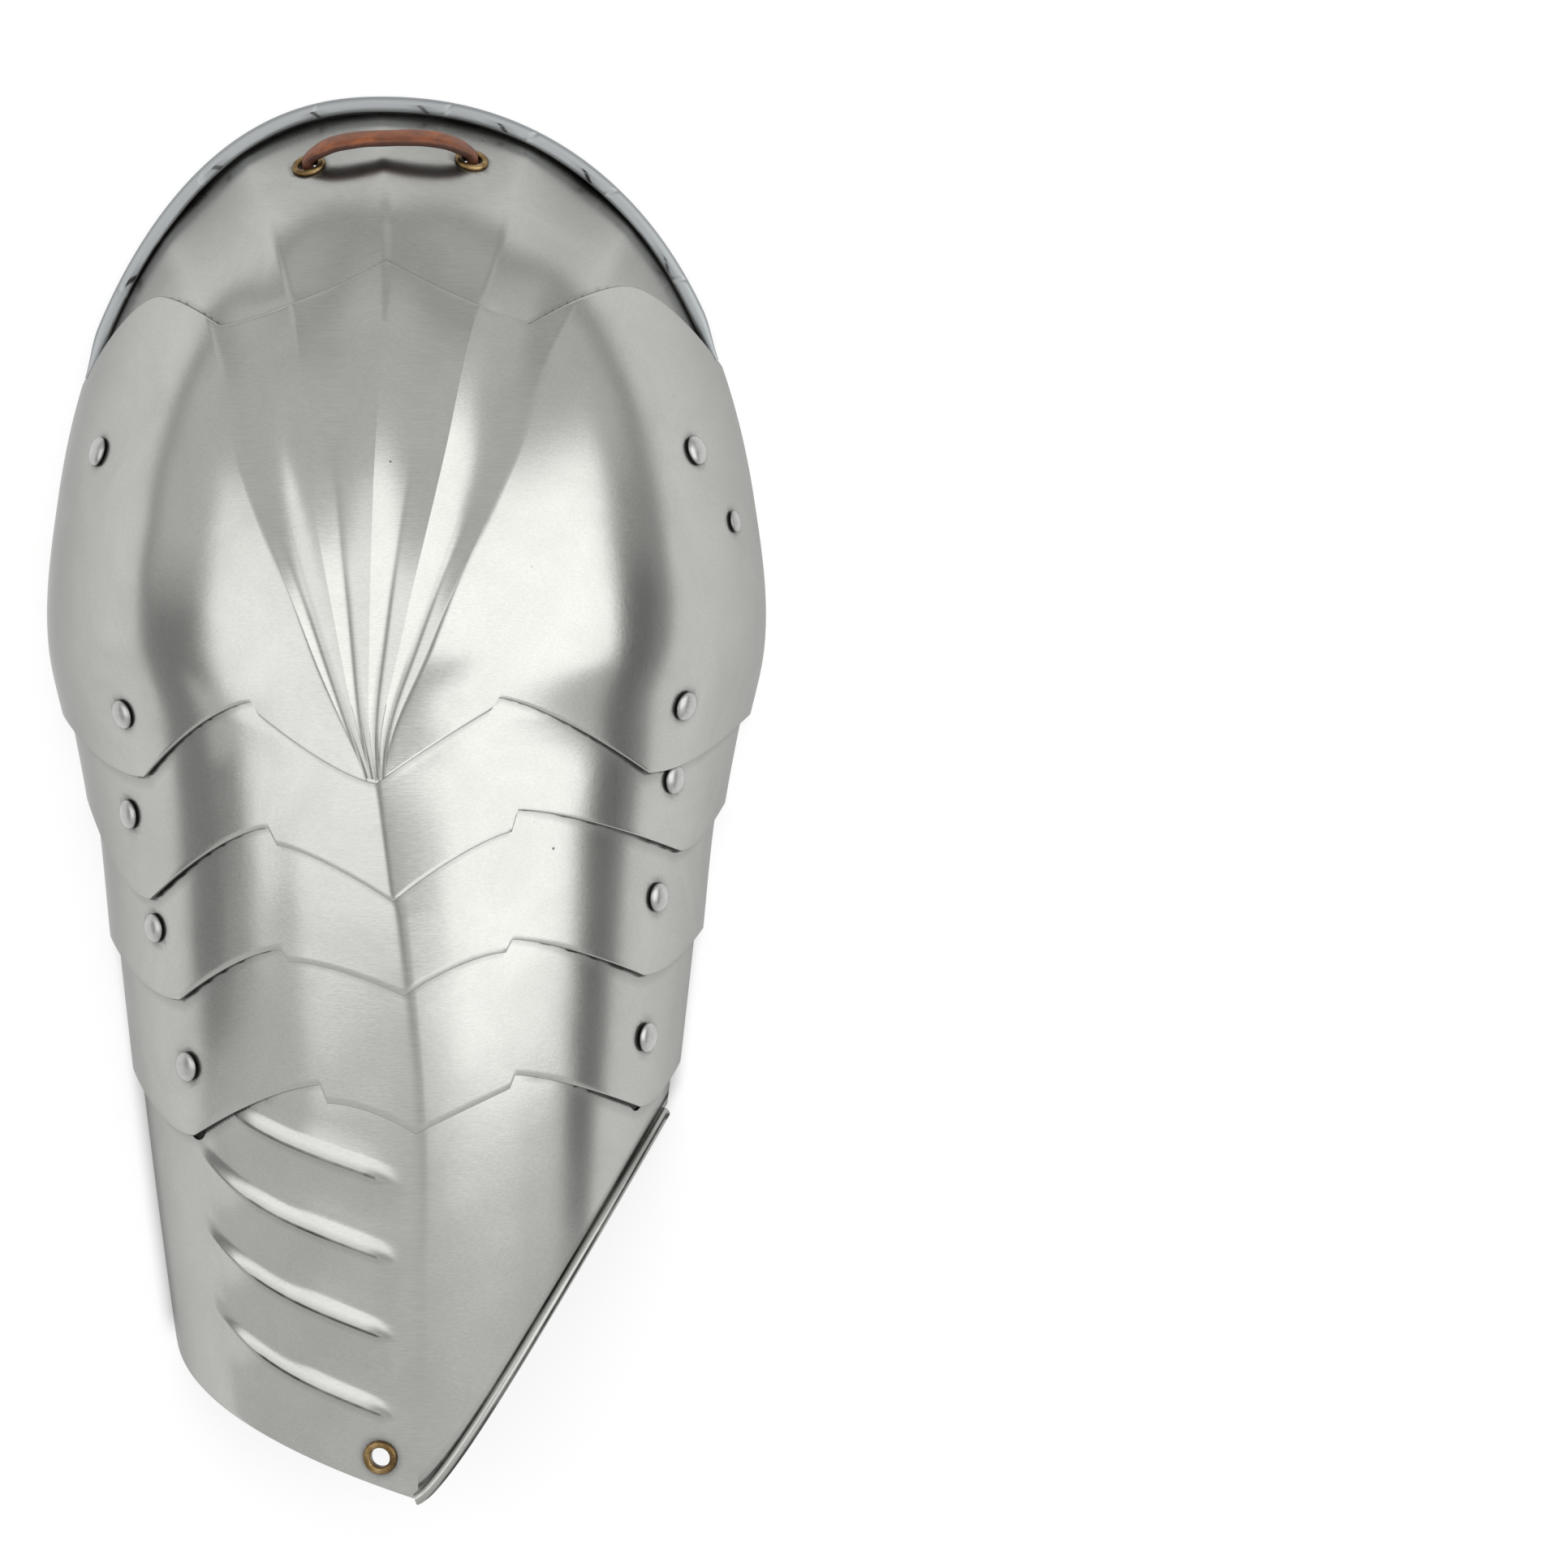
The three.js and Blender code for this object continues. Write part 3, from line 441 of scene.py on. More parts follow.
def ridgeAt(p, inset, inner):
    low = np.zeros(p.shape)
    high = np.full(p.shape, form["neckReach"])
    for _ in range(detail["solveRounds"]):
        y = (low + high) / 2
        u, v, r = shareOf(keelAt(y) + fanAt(y) * p, y, inset)
        wanted = innerShare(np.arctan2(u, v)) if inner else 1
        low = np.where(r < wanted, y, low)
        high = np.where(r < wanted, high, y)
    return (low + high) / 2


# Columns follow the flutes, and beside them they turn as rays down the two ears
def neckPlate():
    fluted = np.linspace(-1, 1, flutes["count"] * detail["flute"] + 1)
    ear = np.arange(1, detail["earSteps"] + 1) / detail["earSteps"]
    columns = np.concatenate([-1 - ear[::-1], fluted, 1 + ear])

    def place(column, row, inset):
        deep = inset + form["tuckDepth"] * smoothStep(row, neckEar["tuckFrom"], 1)
        p = np.clip(column, -1, 1)
        outer = ridgeAt(p, inset, False)
        inner = ridgeAt(p, inset, True)
        y = outer + (inner - outer) * row
        x = keelAt(y) + fanAt(y) * p
        part = np.clip(np.abs(column) - 1, 0, 1)
        rays = []
        for line in (outer, inner):
            u, v, _ = shareOf(keelAt(line) + fanAt(line) * p, line, inset)
            start = np.arctan2(u, v)
            rays.append(start + (np.sign(column) * neckEar["ray"] - start) * part)
        ray = rays[0] + (rays[1] - rays[0]) * row
        share = 1 + (innerShare(rays[1]) - 1) * row
        earX, earY = rayPoint(ray, share, deep)
        onEar = part > 0
        return np.where(onEar, earX, x), np.where(onEar, earY, y), deep

    # finer rows where the groove runs inside the roll
    rows = np.union1d(np.linspace(0, 1, detail["neckRows"]), np.linspace(*detail["grooveRows"]))
    return sheetMesh("neckPlateSheet", columns, rows, 1, place, seed=2)


ribRows = {"onset": 9, "runout": 13, "between": 4, "tip": 12}


# Rows run along the ribs on the left of the keel and keep their shares on the right
def armPlate():
    steps = detail["armColumns"]
    half = stepAcross(0, 1, np.arange(0, steps + 1) / steps)
    columns = np.concatenate([-half[:0:-1], half])

    def rowLengths(across):
        lines = [edgeAt("armTop", across)]
        for k in range(ribs["count"]):
            edge = ribEdge(k, across)
            start = edge + ribs["onset"]
            last = lines[-1]
            for n in range(1, ribRows["between"]):
                lines.append(last + (start - last) * n / ribRows["between"])
            for n in range(ribRows["onset"] + 1):
                lines.append(edge + ribs["onset"] * (1 - n / ribRows["onset"]))
            for n in range(1, ribRows["runout"] + 1):
                lines.append(edge - ribs["runout"] * n / ribRows["runout"])
        last = lines[-1]
        hem = edgeAt("armHem", across)
        for n in range(1, ribRows["tip"] + 1):
            lines.append(last + (hem - last) * n / ribRows["tip"])
        return np.stack(np.broadcast_arrays(*lines), -1)

    middle = rowLengths(np.array(0.0))
    shares = (middle - middle[0]) / (middle[-1] - middle[0])
    rowPlaces = np.arange(len(shares)) / (len(shares) - 1)

    def place(across, row, inset):
        across, row = np.broadcast_arrays(across, row)
        top = edgeAt("armTop", across)
        lengths = rowLengths(across[:, 0])
        position = row * (len(shares) - 1)
        low = np.clip(np.floor(position).astype(int), 0, len(shares) - 2)
        part = position - low
        line = np.arange(lengths.shape[0])[:, None]
        left = lengths[line, low] * (1 - part) + lengths[line, low + 1] * part
        share = np.interp(row, rowPlaces, shares)
        right = top + (edgeAt("armHem", across) - top) * share
        y = np.where(across <= 0, left, right)
        deep = inset + tuckAt(top - y)
        return acrossAt(across, y, deep), y, deep

    return sheetMesh("armPlateSheet", columns, rowPlaces, form["armLayer"], place, ribbed=True, seed=6)


# Places of the fastenings, as shares of half width and of the reaches
rivets = {
    "rivet_main_top_left": (-0.824, 0.35, 0, "main"),
    "rivet_main_top_right": (0.81, 0.352, 0, "main"),
    "rivet_main_a_left": (-0.744, -0.08, 0, "main"),
    "rivet_main_a_right": (0.783, -0.07, 0, "main"),
    "rivet_a_b_left": (-0.737, -0.197, 1, "first_lame"),
    "rivet_a_b_right": (0.751, -0.156, 1, "first_lame"),
    "rivet_b_c_left": (-0.669, -0.331, 2, "second_lame"),
    "rivet_b_c_right": (0.706, -0.295, 2, "second_lame"),
    "rivet_c_arm_left": (-0.579, -0.494, 3, "arm_rivets"),
    "rivet_c_arm_right": (0.673, -0.461, 3, "arm_rivets"),
    "rivet_strap": (0.915, 0.2275, 0, "main"),
}
eyelets = {
    "eyelet_loop_left": (-0.26, 0.872, 1, "neck"),
    "eyelet_loop_right": (0.19, 0.882, 1, "neck"),
    "eyelet_arm": (-0.048, -0.951, 4, "arm"),
}


def skinAt(across, along, layer):
    x = across * form["halfWidth"]
    y = float(lengthAt(along))
    inset = layer * form["layerPitch"]
    step = 0.5  # half the width over which the slope is measured

    def at(dx, dy):
        return float(heightAt(np.array(x + dx), np.array(y + dy), inset, footOf(layer)))

    normal = Vector((at(-step, 0) - at(step, 0), at(0, -step) - at(0, step), 2 * step)).normalized()
    return Vector((x, y, at(0, 0))), normal


def standing(normal):
    return Vector((0, 0, 1)).rotation_difference(normal).to_matrix()


# A turned body from a profile of (radius, height) pairs, standing at a place along its normal
def turnedMesh(name, profile, point, normal, sides=48, wobble=0.0, seed=0, closed=False):
    rng = np.random.default_rng(seed)
    radii, heights = np.array(profile, float).T
    angles = np.arange(sides) / sides * 2 * math.pi
    phase = rng.uniform(0, 2 * math.pi, 3)
    uneven = 1 + wobble * sum(np.sin((k + 2) * angles + phase[k]) for k in range(3)) / 3
    x = radii[:, None] * np.cos(angles)[None, :] * uneven[None, :]
    y = radii[:, None] * np.sin(angles)[None, :] * uneven[None, :]
    z = np.broadcast_to(heights[:, None], x.shape)
    turn = np.array(standing(normal))
    points = np.stack([x, y, z], -1) @ turn.T + np.array(point)
    count = len(profile)
    index = np.arange(count * sides).reshape(count, sides)
    nextSide = np.roll(index, -1, axis=1)
    faces = np.stack([index[:-1], nextSide[:-1], nextSide[1:], index[1:]], -1).reshape(-1, 4).tolist()
    if closed:
        faces += np.stack([index[-1], nextSide[-1], nextSide[0], index[0]], -1).tolist()
    else:
        faces += [index[0][::-1].tolist(), index[-1].tolist()]
    return meshObject(name, toFrame(points).reshape(-1, 3), faces, smoothAngles["turned"])


def addBoolean(piece, operation, other):
    step = piece.modifiers.new("step", "BOOLEAN")
    step.operation = operation
    step.solver = "MANIFOLD"
    step.object = other


def applyModifiers(piece):
    finished = piece.evaluated_get(bpy.context.evaluated_depsgraph_get())
    mesh = bpy.data.meshes.new_from_object(finished)
    piece.modifiers.clear()
    piece.data = mesh


def cutHoles(piece, tools):
    for tool in tools:
        addBoolean(piece, "DIFFERENCE", tool)
        tool.hide_render = True
    applyModifiers(piece)
    piece.data.polygons.foreach_set("use_smooth", [True] * len(piece.data.polygons))
    piece.data.set_sharp_from_angle(angle=math.radians(smoothAngles["sheet"]))
    for tool in tools:
        bpy.data.objects.remove(tool)


holes = {"shank": 1.95, "barrel": 3.55, "reach": 8.0, "sides": 40, "slotLength": 17.0, "slotHalf": 3.6,
         "slotFall": math.radians(10), "slotSteps": 16}


def boreTool(place, radius):
    point, normal = skinAt(*place[:3])
    profile = [(radius, -holes["reach"]), (radius, holes["reach"])]
    return turnedMesh("bore", profile, point, normal, holes["sides"])


def slotTool(place):
    point, normal = skinAt(*place[:3])
    along = Vector((0, -math.cos(holes["slotFall"]), -math.sin(holes["slotFall"])))
    out = (normal - along * normal.dot(along)).normalized()
    side = out.cross(along)
    outline = []
    half = holes["slotHalf"]
    for centre, first in ((0, math.pi / 2), (holes["slotLength"], -math.pi / 2)):
        for n in range(holes["slotSteps"] + 1):
            angle = first + math.pi * n / holes["slotSteps"]
            outline.append((centre + half * math.cos(angle), half * math.sin(angle)))
    points = []
    for level in (-holes["reach"], holes["reach"]):
        for a, b in outline:
            points.append(point + along * a + side * b + out * level)
    count = len(outline)
    faces = [list(range(count))[::-1], [count + n for n in range(count)]]
    for n in range(count):
        after = (n + 1) % count
        faces.append([n, after, count + after, count + n])
    return meshObject("slot", toFrame([tuple(p) for p in points]), faces)


# A bar swept along a line of points, its section given by a function of the place and the turn
def sweptMesh(name, path, frames, section, sides, smoothAngle=smoothAngles["turned"]):
    angles = np.arange(sides) / sides * 2 * math.pi
    rings = []
    for k, (centre, (first, second)) in enumerate(zip(path, frames)):
        a, b = section(k / (len(path) - 1), angles)
        rings.append(centre + a[:, None] * first + b[:, None] * second)
    rings = np.array(rings)
    index = np.arange(len(path) * sides).reshape(len(path), sides)
    nextSide = np.roll(index, -1, axis=1)
    faces = np.stack([index[:-1], nextSide[:-1], nextSide[1:], index[1:]], -1).reshape(-1, 4).tolist()
    faces += [index[0][::-1].tolist(), index[-1].tolist()]
    return meshObject(name, toFrame(rings).reshape(-1, 3), faces, smoothAngle)


def pathTangents(path):
    tangents = np.gradient(path, axis=0)
    return tangents / np.linalg.norm(tangents, axis=1)[:, None]


def pathFrames(path):
    tangents = pathTangents(path)
    side = np.cross(tangents, np.array([0, 0, 1.0]))
    side /= np.linalg.norm(side, axis=1)[:, None]
    return list(zip(side, np.cross(side, tangents)))


# A round section with flattened sides, more so the smaller the power
def squared(angles, power):
    return [np.sign(turned) * np.abs(turned) ** power for turned in (np.cos(angles), np.sin(angles))]


neckRim = {
    "radius": 2.2,
    "seat": 0.6,
    "back": 0.5,
    "steps": 620,
    # relief nicks across the roll, as shares of the way from the left end to the right one
    "nicks": [0.105, 0.262, 0.415, 0.565, 0.665, 0.775, 0.9],
    "nickDepth": 0.3,
    "nickWidth": 0.55,
    "nickLean": 1.6,
    "endTaper": 14.0,
    "endShare": 0.4,
    "square": 0.62,  # a folded rim is a little flat on top
    "sides": 28,
}


# Rays at which the roll begins and ends
def neckRays():
    inset = form["layerPitch"]
    ends = []
    for row, side in ((edges["mainTop"][0], -1), (edges["mainTop"][-1], 1)):
        y = float(lengthAt(row[1])) + neckRim["back"]
        u, v, _ = shareOf(rimAt(np.array(y), side, inset), np.array(y), inset)
        ends.append(math.atan2(float(u), float(v)))
    return ends


def neckRoll():
    inset = form["layerPitch"]
    rays = np.linspace(*neckRays(), neckRim["steps"])
    x, y = rayPoint(rays, 1 + neckRim["radius"] * neckRim["seat"] / form["neckReach"], inset)
    path = np.stack([x, y, np.full(x.shape, form["rimLift"] + neckRim["radius"])], -1)
    travel = np.concatenate([[0], np.cumsum(np.linalg.norm(np.diff(path, axis=0), axis=1))])

    def section(part, angles):
        at = np.interp(part, np.linspace(0, 1, len(travel)), travel)
        fromEnd = min(at, travel[-1] - at)
        taper = neckRim["endShare"] + (1 - neckRim["endShare"]) * smoothStep(fromEnd, 0, neckRim["endTaper"])
        radius = np.full(angles.shape, neckRim["radius"] * taper)
        for share in neckRim["nicks"]:
            lean = neckRim["nickLean"] * np.cos(angles)
            off = (at - share * travel[-1] + lean) / neckRim["nickWidth"]
            upward = np.clip(np.sin(angles), 0, 1) ** 2
            radius = radius - neckRim["nickDepth"] * np.exp(-off * off) * upward
        across, rise = squared(angles, neckRim["square"])
        return radius * across, radius * rise

    return sweptMesh("neckRoll", path, pathFrames(path), section, neckRim["sides"])


armRim = {"radius": 1.65, "start": 0.004, "end": 0.985, "steps": 260, "sides": 24}


def armRoll():
    inset = form["armLayer"] * form["layerPitch"] + form["sheet"] / 2
    across = np.linspace(armRim["start"], armRim["end"], armRim["steps"])
    y = edgeAt("armHem", across)
    x = acrossAt(across, y, inset)
    path = []
    for a, b in zip(x, y):
        point = Vector((a, b, float(heightAt(np.array(a), np.array(b), inset, 0, True))))
        _, normal = skinAt(a / form["halfWidth"], float(shareAlong(np.array(b))), form["armLayer"])
        path.append(point + normal * (armRim["radius"] - form["sheet"] / 2))
    path = np.array([tuple(p) for p in path])

    def section(part, angles):
        return armRim["radius"] * np.cos(angles), armRim["radius"] * np.sin(angles)

    return sweptMesh("armRoll", path, pathFrames(path), section, armRim["sides"])


def joined(name, pieces):
    first, *others = pieces
    for other in others:
        addBoolean(first, "UNION", other)
    applyModifiers(first)
    first.name = name
    for other in others:
        bpy.data.objects.remove(other)
    return first


# Rivets and eyelets

head = {
    "radius": 4.0,
    "rise": 1.9,
    "seat": 0.12,
    "swingSeat": 0.45,  # the arm plate's heads tilt as it swings
    "shank": 1.5,
    "tail": 3.2,
    "washer": 5.0,
    "tailThick": 1.0,
    # the rounding of the tail and the head's rim: share of the radius, then height
    "tailRound": [(0.72, 0.02), (0.93, 0.18), (1.0, 0.5), (0.97, 0.82), (0.85, 1.0)],
    "rim": [(0.9, 0.0), (0.97, 0.12)],
    "skirt": 0.4,
    "sink": 0.3,
    "tip": 0.01,
    "steps": 14,
    "sides": 56,
    "wobble": 0.012,
}
strapHead = {"radius": 3.0, "rise": 1.1, "tail": 2.4}
flangeRing = {
    "outer": 4.65,
    "rise": 0.9,
    "foot": 0.1,
    "crown": 0.15,
    "roundPower": 0.8,
    "hole": 2.65,
    "barrel": 3.1,
    "barrelTop": 0.08,
    "throat": 0.6,
    "tail": 4.2,
    # the clinched tail inside: distance out from the hole or in from the tail's radius, then height
    "tailInner": [(0.05, 0.7), (0.3, 0.2), (0.75, 0.0)],
    "tailOuter": [(0.35, 0.05), (0.0, 0.35), (0.1, 0.75)],
    "tailThick": 0.9,
    "steps": 9,
    "sides": 64,
    "wobble": 0.01,
}


def rivetPiece(name, place, seed):
    point, normal = skinAt(*place[:3])
    strap = name == "rivet_strap"
    radius = strapHead["radius"] if strap else head["radius"]
    rise = strapHead["rise"] if strap else head["rise"]
    tail = strapHead["tail"] if strap else head["washer"] if "c_arm" in name else head["tail"]
    nodeTail = tailDepth(name, point, normal)
    seat = head["swingSeat"] if "c_arm" in name else head["seat"]
    profile = [(head["tip"], nodeTail)]
    profile += [(tail * share, nodeTail + height) for share, height in head["tailRound"]]
    profile += [(head["shank"], nodeTail + head["tailThick"]), (head["shank"], seat)]
    profile += [(radius * share, seat + height) for share, height in head["rim"]]
    skirt = seat + head["skirt"]
    for n in range(head["steps"] + 1):
        angle = n / head["steps"] * math.pi / 2
        profile.append((max(radius * math.cos(angle), head["tip"]),
                        skirt + (rise + head["sink"] - skirt) * math.sin(angle)))
    return turnedMesh(name + "_dome", profile, point, normal, head["sides"], head["wobble"], seed)


# How deep a CAD fastening reaches inside, along its normal
def tailDepth(name, point, normal):
    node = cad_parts[name]
    base = Vector(toFrame(tuple(point)))
    return min((vertex.co - base).dot(normal) for vertex in node.data.vertices) / mm


def eyeletPiece(name, place, seed):
    point, normal = skinAt(*place[:3])
    under = tailDepth(name, point, normal)
    outer, hole, tail = flangeRing["outer"], flangeRing["hole"], flangeRing["tail"]
    profile = []
    middle = (outer + hole) / 2
    half = (outer - hole) / 2
    for n in range(flangeRing["steps"] * 2 + 1):
        angle = math.pi * n / (flangeRing["steps"] * 2)
        rounded = (flangeRing["rise"] + flangeRing["crown"]) * math.sin(angle) ** flangeRing["roundPower"]
        profile.append((middle + half * math.cos(angle), flangeRing["foot"] + rounded))
    profile.append((hole, -flangeRing["throat"]))
    profile += [(hole + out, under + height) for out, height in flangeRing["tailInner"]]
    profile += [(tail - into, under + height) for into, height in flangeRing["tailOuter"]]
    profile += [(flangeRing["barrel"], under + flangeRing["tailThick"]),
                (flangeRing["barrel"], flangeRing["barrelTop"])]
    return turnedMesh(name + "_ring", profile, point, normal, flangeRing["sides"], flangeRing["wobble"], seed,
                      closed=True)


# The lace rises out of one eyelet, arches over the plate and goes down through the other
lace = {
    "halfWidth": 2.95,
    "halfThick": 1.4,
    "rise": 8.2,
    "tail": 5.0,
    "low": 1.5,
    "high": 2.5,
    "power": 3.5,
    "stations": [0.12, 0.3, 0.5, 0.7, 0.88],
    "steps": 150,
    "sides": 36,
    "square": 0.62,  # a strap with rounded edges
    "narrowBy": 0.34,
    "narrowing": (0.5, 0.68),
    "waves": [(0.03, 23), (0.02, 57)],
    "knot": 3.3,
    "knotFlat": 0.9,
    "knotSides": 32,
    "knotSteps": 16,
    "knotWobble": 0.08,
    # how dark the painted shade on the lace's underside is, and over which facing it fades
    "underside": 0.9,
    "turnedUnder": (-0.3, 0.9),
}


def curveThrough(points, count):
    points = np.array([tuple(p) for p in points])
    chord = np.concatenate([[0], np.cumsum(np.sqrt(np.linalg.norm(np.diff(points, axis=0), axis=1)))])
    ends = np.vstack([2 * points[0] - points[1], points, 2 * points[-1] - points[-2]])
    knots = np.concatenate([[-chord[1]], chord, [2 * chord[-1] - chord[-2]]])
    result = []
    for t in np.linspace(0, chord[-1], count):
        k = min(max(np.searchsorted(chord, t, side="right") - 1, 0), len(points) - 2) + 1
        t0, t1, t2, t3 = knots[k - 1:k + 3]
        p0, p1, p2, p3 = ends[k - 1:k + 3]
        a1 = (t1 - t) / (t1 - t0) * p0 + (t - t0) / (t1 - t0) * p1
        a2 = (t2 - t) / (t2 - t1) * p1 + (t - t1) / (t2 - t1) * p2
        a3 = (t3 - t) / (t3 - t2) * p2 + (t - t2) / (t3 - t2) * p3
        b1 = (t2 - t) / (t2 - t0) * a1 + (t - t0) / (t2 - t0) * a2
        b2 = (t3 - t) / (t3 - t1) * a2 + (t - t1) / (t3 - t1) * a3
        result.append((t2 - t) / (t2 - t1) * b1 + (t - t1) / (t2 - t1) * b2)
    return np.array(result)


# Where the lace goes through the plate, and the direction between the two that leads away from it
def laceEnds():
    ends = [skinAt(*eyelets[name][:3]) for name in ("eyelet_loop_left", "eyelet_loop_right")]
    return ends, (ends[0][1] + ends[1][1]).normalized()


def leatherLoop():
    ends, out = laceEnds()
    points = [ends[0][0] + ends[0][1] * h for h in (-lace["tail"], -lace["tail"] / 2, lace["low"])]
    for share in lace["stations"]:
        rise = 1 - abs(2 * share - 1) ** lace["power"]
        chord = ends[0][0].lerp(ends[1][0], share)
        points.append(chord + out * (lace["high"] + (lace["rise"] - lace["high"]) * rise))
    points += [ends[1][0] + ends[1][1] * h for h in (lace["low"], -lace["tail"] / 2, -lace["tail"])]
    path = curveThrough(points, lace["steps"])
    chord = np.array(ends[1][0] - ends[0][0])
    flat = np.cross(np.array(out), chord)
    flat /= np.linalg.norm(flat)
    frames = []
    for tangent in pathTangents(path):
        wide = flat - tangent * tangent.dot(flat)
        wide /= np.linalg.norm(wide)
        frames.append((wide, np.cross(wide, tangent)))

    def section(part, angles):
        narrow = 1 - lace["narrowBy"] * smoothStep(abs(2 * part - 1), *lace["narrowing"])
        wave = 1 + sum(height * math.sin(part * pitch) for height, pitch in lace["waves"])
        a, b = squared(angles, lace["square"])
        return a * lace["halfWidth"] * narrow * wave, b * lace["halfThick"]

    strap = sweptMesh("laceStrap", path, frames, section, lace["sides"], smoothAngles["lace"])
    knots = []
    for point, normal in ends:
        centre = point - normal * (lace["tail"] + lace["knot"] / 2)
        profile = []
        radius, height = lace["knot"], lace["knot"] * lace["knotFlat"]
        for n in range(1, lace["knotSteps"]):
            angle = -math.pi / 2 + math.pi * n / lace["knotSteps"]
            profile.append((radius * math.cos(angle), height * math.sin(angle)))
        knots.append(turnedMesh("laceKnot", profile, centre, normal, lace["knotSides"], lace["knotWobble"],
                                len(knots)))
    return joined("leatherLoop", [strap, *knots])


# Painted shade: the underside and the edges of the lace are darkened
def laceUndersideShade(piece):
    normals = np.empty(len(piece.data.vertices) * 3)
    piece.data.vertices.foreach_get("normal", normals)
    facing = normals.reshape(-1, 3) @ np.array(laceEnds()[1])
    return lace["underside"] * (1 - smoothStep(facing, *lace["turnedUnder"]))


# Materials

def newMaterial(name):
    material = bpy.data.materials.new(name)
    material.use_nodes = True
    nodes = material.node_tree.nodes
    return material, nodes, material.node_tree.links, nodes["Principled BSDF"]


# Most of a noise lies between these two values
noiseMiddle = (0.3, 0.7)


def objectPlace(nodes):
    return nodes.new("ShaderNodeTexCoord").outputs["Object"]


def attributeNode(nodes, name):
    attribute = nodes.new("ShaderNodeAttribute")
    attribute.attribute_name = name
    return attribute.outputs["Fac"]


def noiseNode(nodes, links, coordinates, scale, detailLevel, roughness, distortion=0.0):
    mapping = nodes.new("ShaderNodeMapping")
    mapping.inputs["Scale"].default_value = scale
    links.new(coordinates, mapping.inputs["Vector"])
    noise = nodes.new("ShaderNodeTexNoise")
    noise.inputs["Scale"].default_value = 1.0
    noise.inputs["Detail"].default_value = detailLevel
    noise.inputs["Roughness"].default_value = roughness
    noise.inputs["Distortion"].default_value = distortion
    links.new(mapping.outputs["Vector"], noise.inputs["Vector"])
    return noise.outputs["Fac"]


def rampNode(nodes, links, value, stops, kind="LINEAR"):
    ramp = nodes.new("ShaderNodeValToRGB")
    while len(ramp.color_ramp.elements) < len(stops):
        ramp.color_ramp.elements.new(0.5)
    for element, (position, colour) in zip(ramp.color_ramp.elements, stops):
        element.position = position
        element.color = (*colour, 1)
    ramp.color_ramp.interpolation = kind
    links.new(value, ramp.inputs["Fac"])
    return ramp.outputs["Color"]


def mixColour(nodes, links, kind, factor, first, second):
    mix = nodes.new("ShaderNodeMix")
    mix.data_type = "RGBA"
    mix.blend_type = kind
    for name, value in (("Factor", factor), ("A", first), ("B", second)):
        socket = mix.inputs[name]
        if isinstance(value, (int, float)):
            socket.default_value = value
        elif isinstance(value, tuple):
            socket.default_value = (*value, 1)
        else:
            links.new(value, socket)
    return mix.outputs["Result"]


def mathNode(nodes, links, operation, *values):
    node = nodes.new("ShaderNodeMath")
    node.operation = operation
    for socket, value in zip(node.inputs, values):
        if isinstance(value, (int, float)):
            socket.default_value = value
        else:
            links.new(value, socket)
    return node.outputs["Value"]


def product(nodes, links, *values):
    result = values[0]
    for value in values[1:]:
        result = mathNode(nodes, links, "MULTIPLY", result, value)
    return result


def rangeNode(nodes, links, value, low, high, toLow, toHigh, kind="LINEAR"):
    node = nodes.new("ShaderNodeMapRange")
    node.interpolation_type = kind
    for name, number in (("From Min", low), ("From Max", high), ("To Min", toLow), ("To Max", toHigh)):
        node.inputs[name].default_value = number
    links.new(value, node.inputs["Value"])
    return node.outputs["Result"]


def bumpNode(nodes, links, height, strength, distance, under=None):
    bump = nodes.new("ShaderNodeBump")
    bump.inputs["Strength"].default_value = strength
    bump.inputs["Distance"].default_value = distance
    links.new(height, bump.inputs["Height"])
    if under is not None:
        links.new(under, bump.inputs["Normal"])
    return bump.outputs["Normal"]


steelLook = {
    # noises: scale along each axis, detail, roughness and distortion
    "brush": ((90, 2600, 2600), 3, 0.7),
    "coarse": ((30, 700, 700), 2, 0.6),
    "smudge": ((38, 30, 30), 5, 0.62, 0.6),
    "clouds": ((14, 11, 11), 3, 0.5),
    "scratch": ((420, 60, 60), 2, 0.5, 1.2),
    "light": (0.5, 0.503, 0.48),
    "dull": (0.45, 0.452, 0.43),
    "dullFrom": (0.35, 0.7),
    "streaks": [(0.25, (0.9, 0.9, 0.9)), (0.75, (1.05, 1.05, 1.05))],
    # colour of the small pits, and of the painted shade at seams, grooves, rivets and the neck rim
    "darkening": (0.045, 0.042, 0.04),
    "darkest": 0.96,
    "matt": (0.33, 0.35, 0.365),
    "mattShare": 0.85,
    "tint": (0.6, 0.6, 0.6, 1),
    # small dark pits: how close they lie, their size, how few are kept, their strength
    "pitScale": 190,
    "pitSize": (0.05, 0.09),
    "pitFew": 0.975,
    "pitDark": 0.8,
    "scratchAt": 0.62,
    "scratchWidth": 0.008,
    # roughness: its range over the smudges, then what brushing, the painted shade, matt rims and scratches
    # change
    "roughness": (0.13, 0.21),
    "roughBrush": 0.04,
    "roughInShade": 0.3,
    "roughMatt": 0.26,
    "smoothScratch": 0.05,
    "brushBump": 0.08,
    "brushDepth": 0.0001,
    "coarseShare": 0.8,
    "dentBump": 0.1,
    "dentDepth": 0.0004,
    # the painted shade lines: their width, how their strength varies, and the soft halo of painted shade
    # beside them
    "seamWidth": (0.15, 0.6),
    "unevenFrom": (0.35, 0.65),
    "seamUneven": (0.6, 1.15),
    "haloWidth": 2.2,
    "haloDepth": 0.28,
}


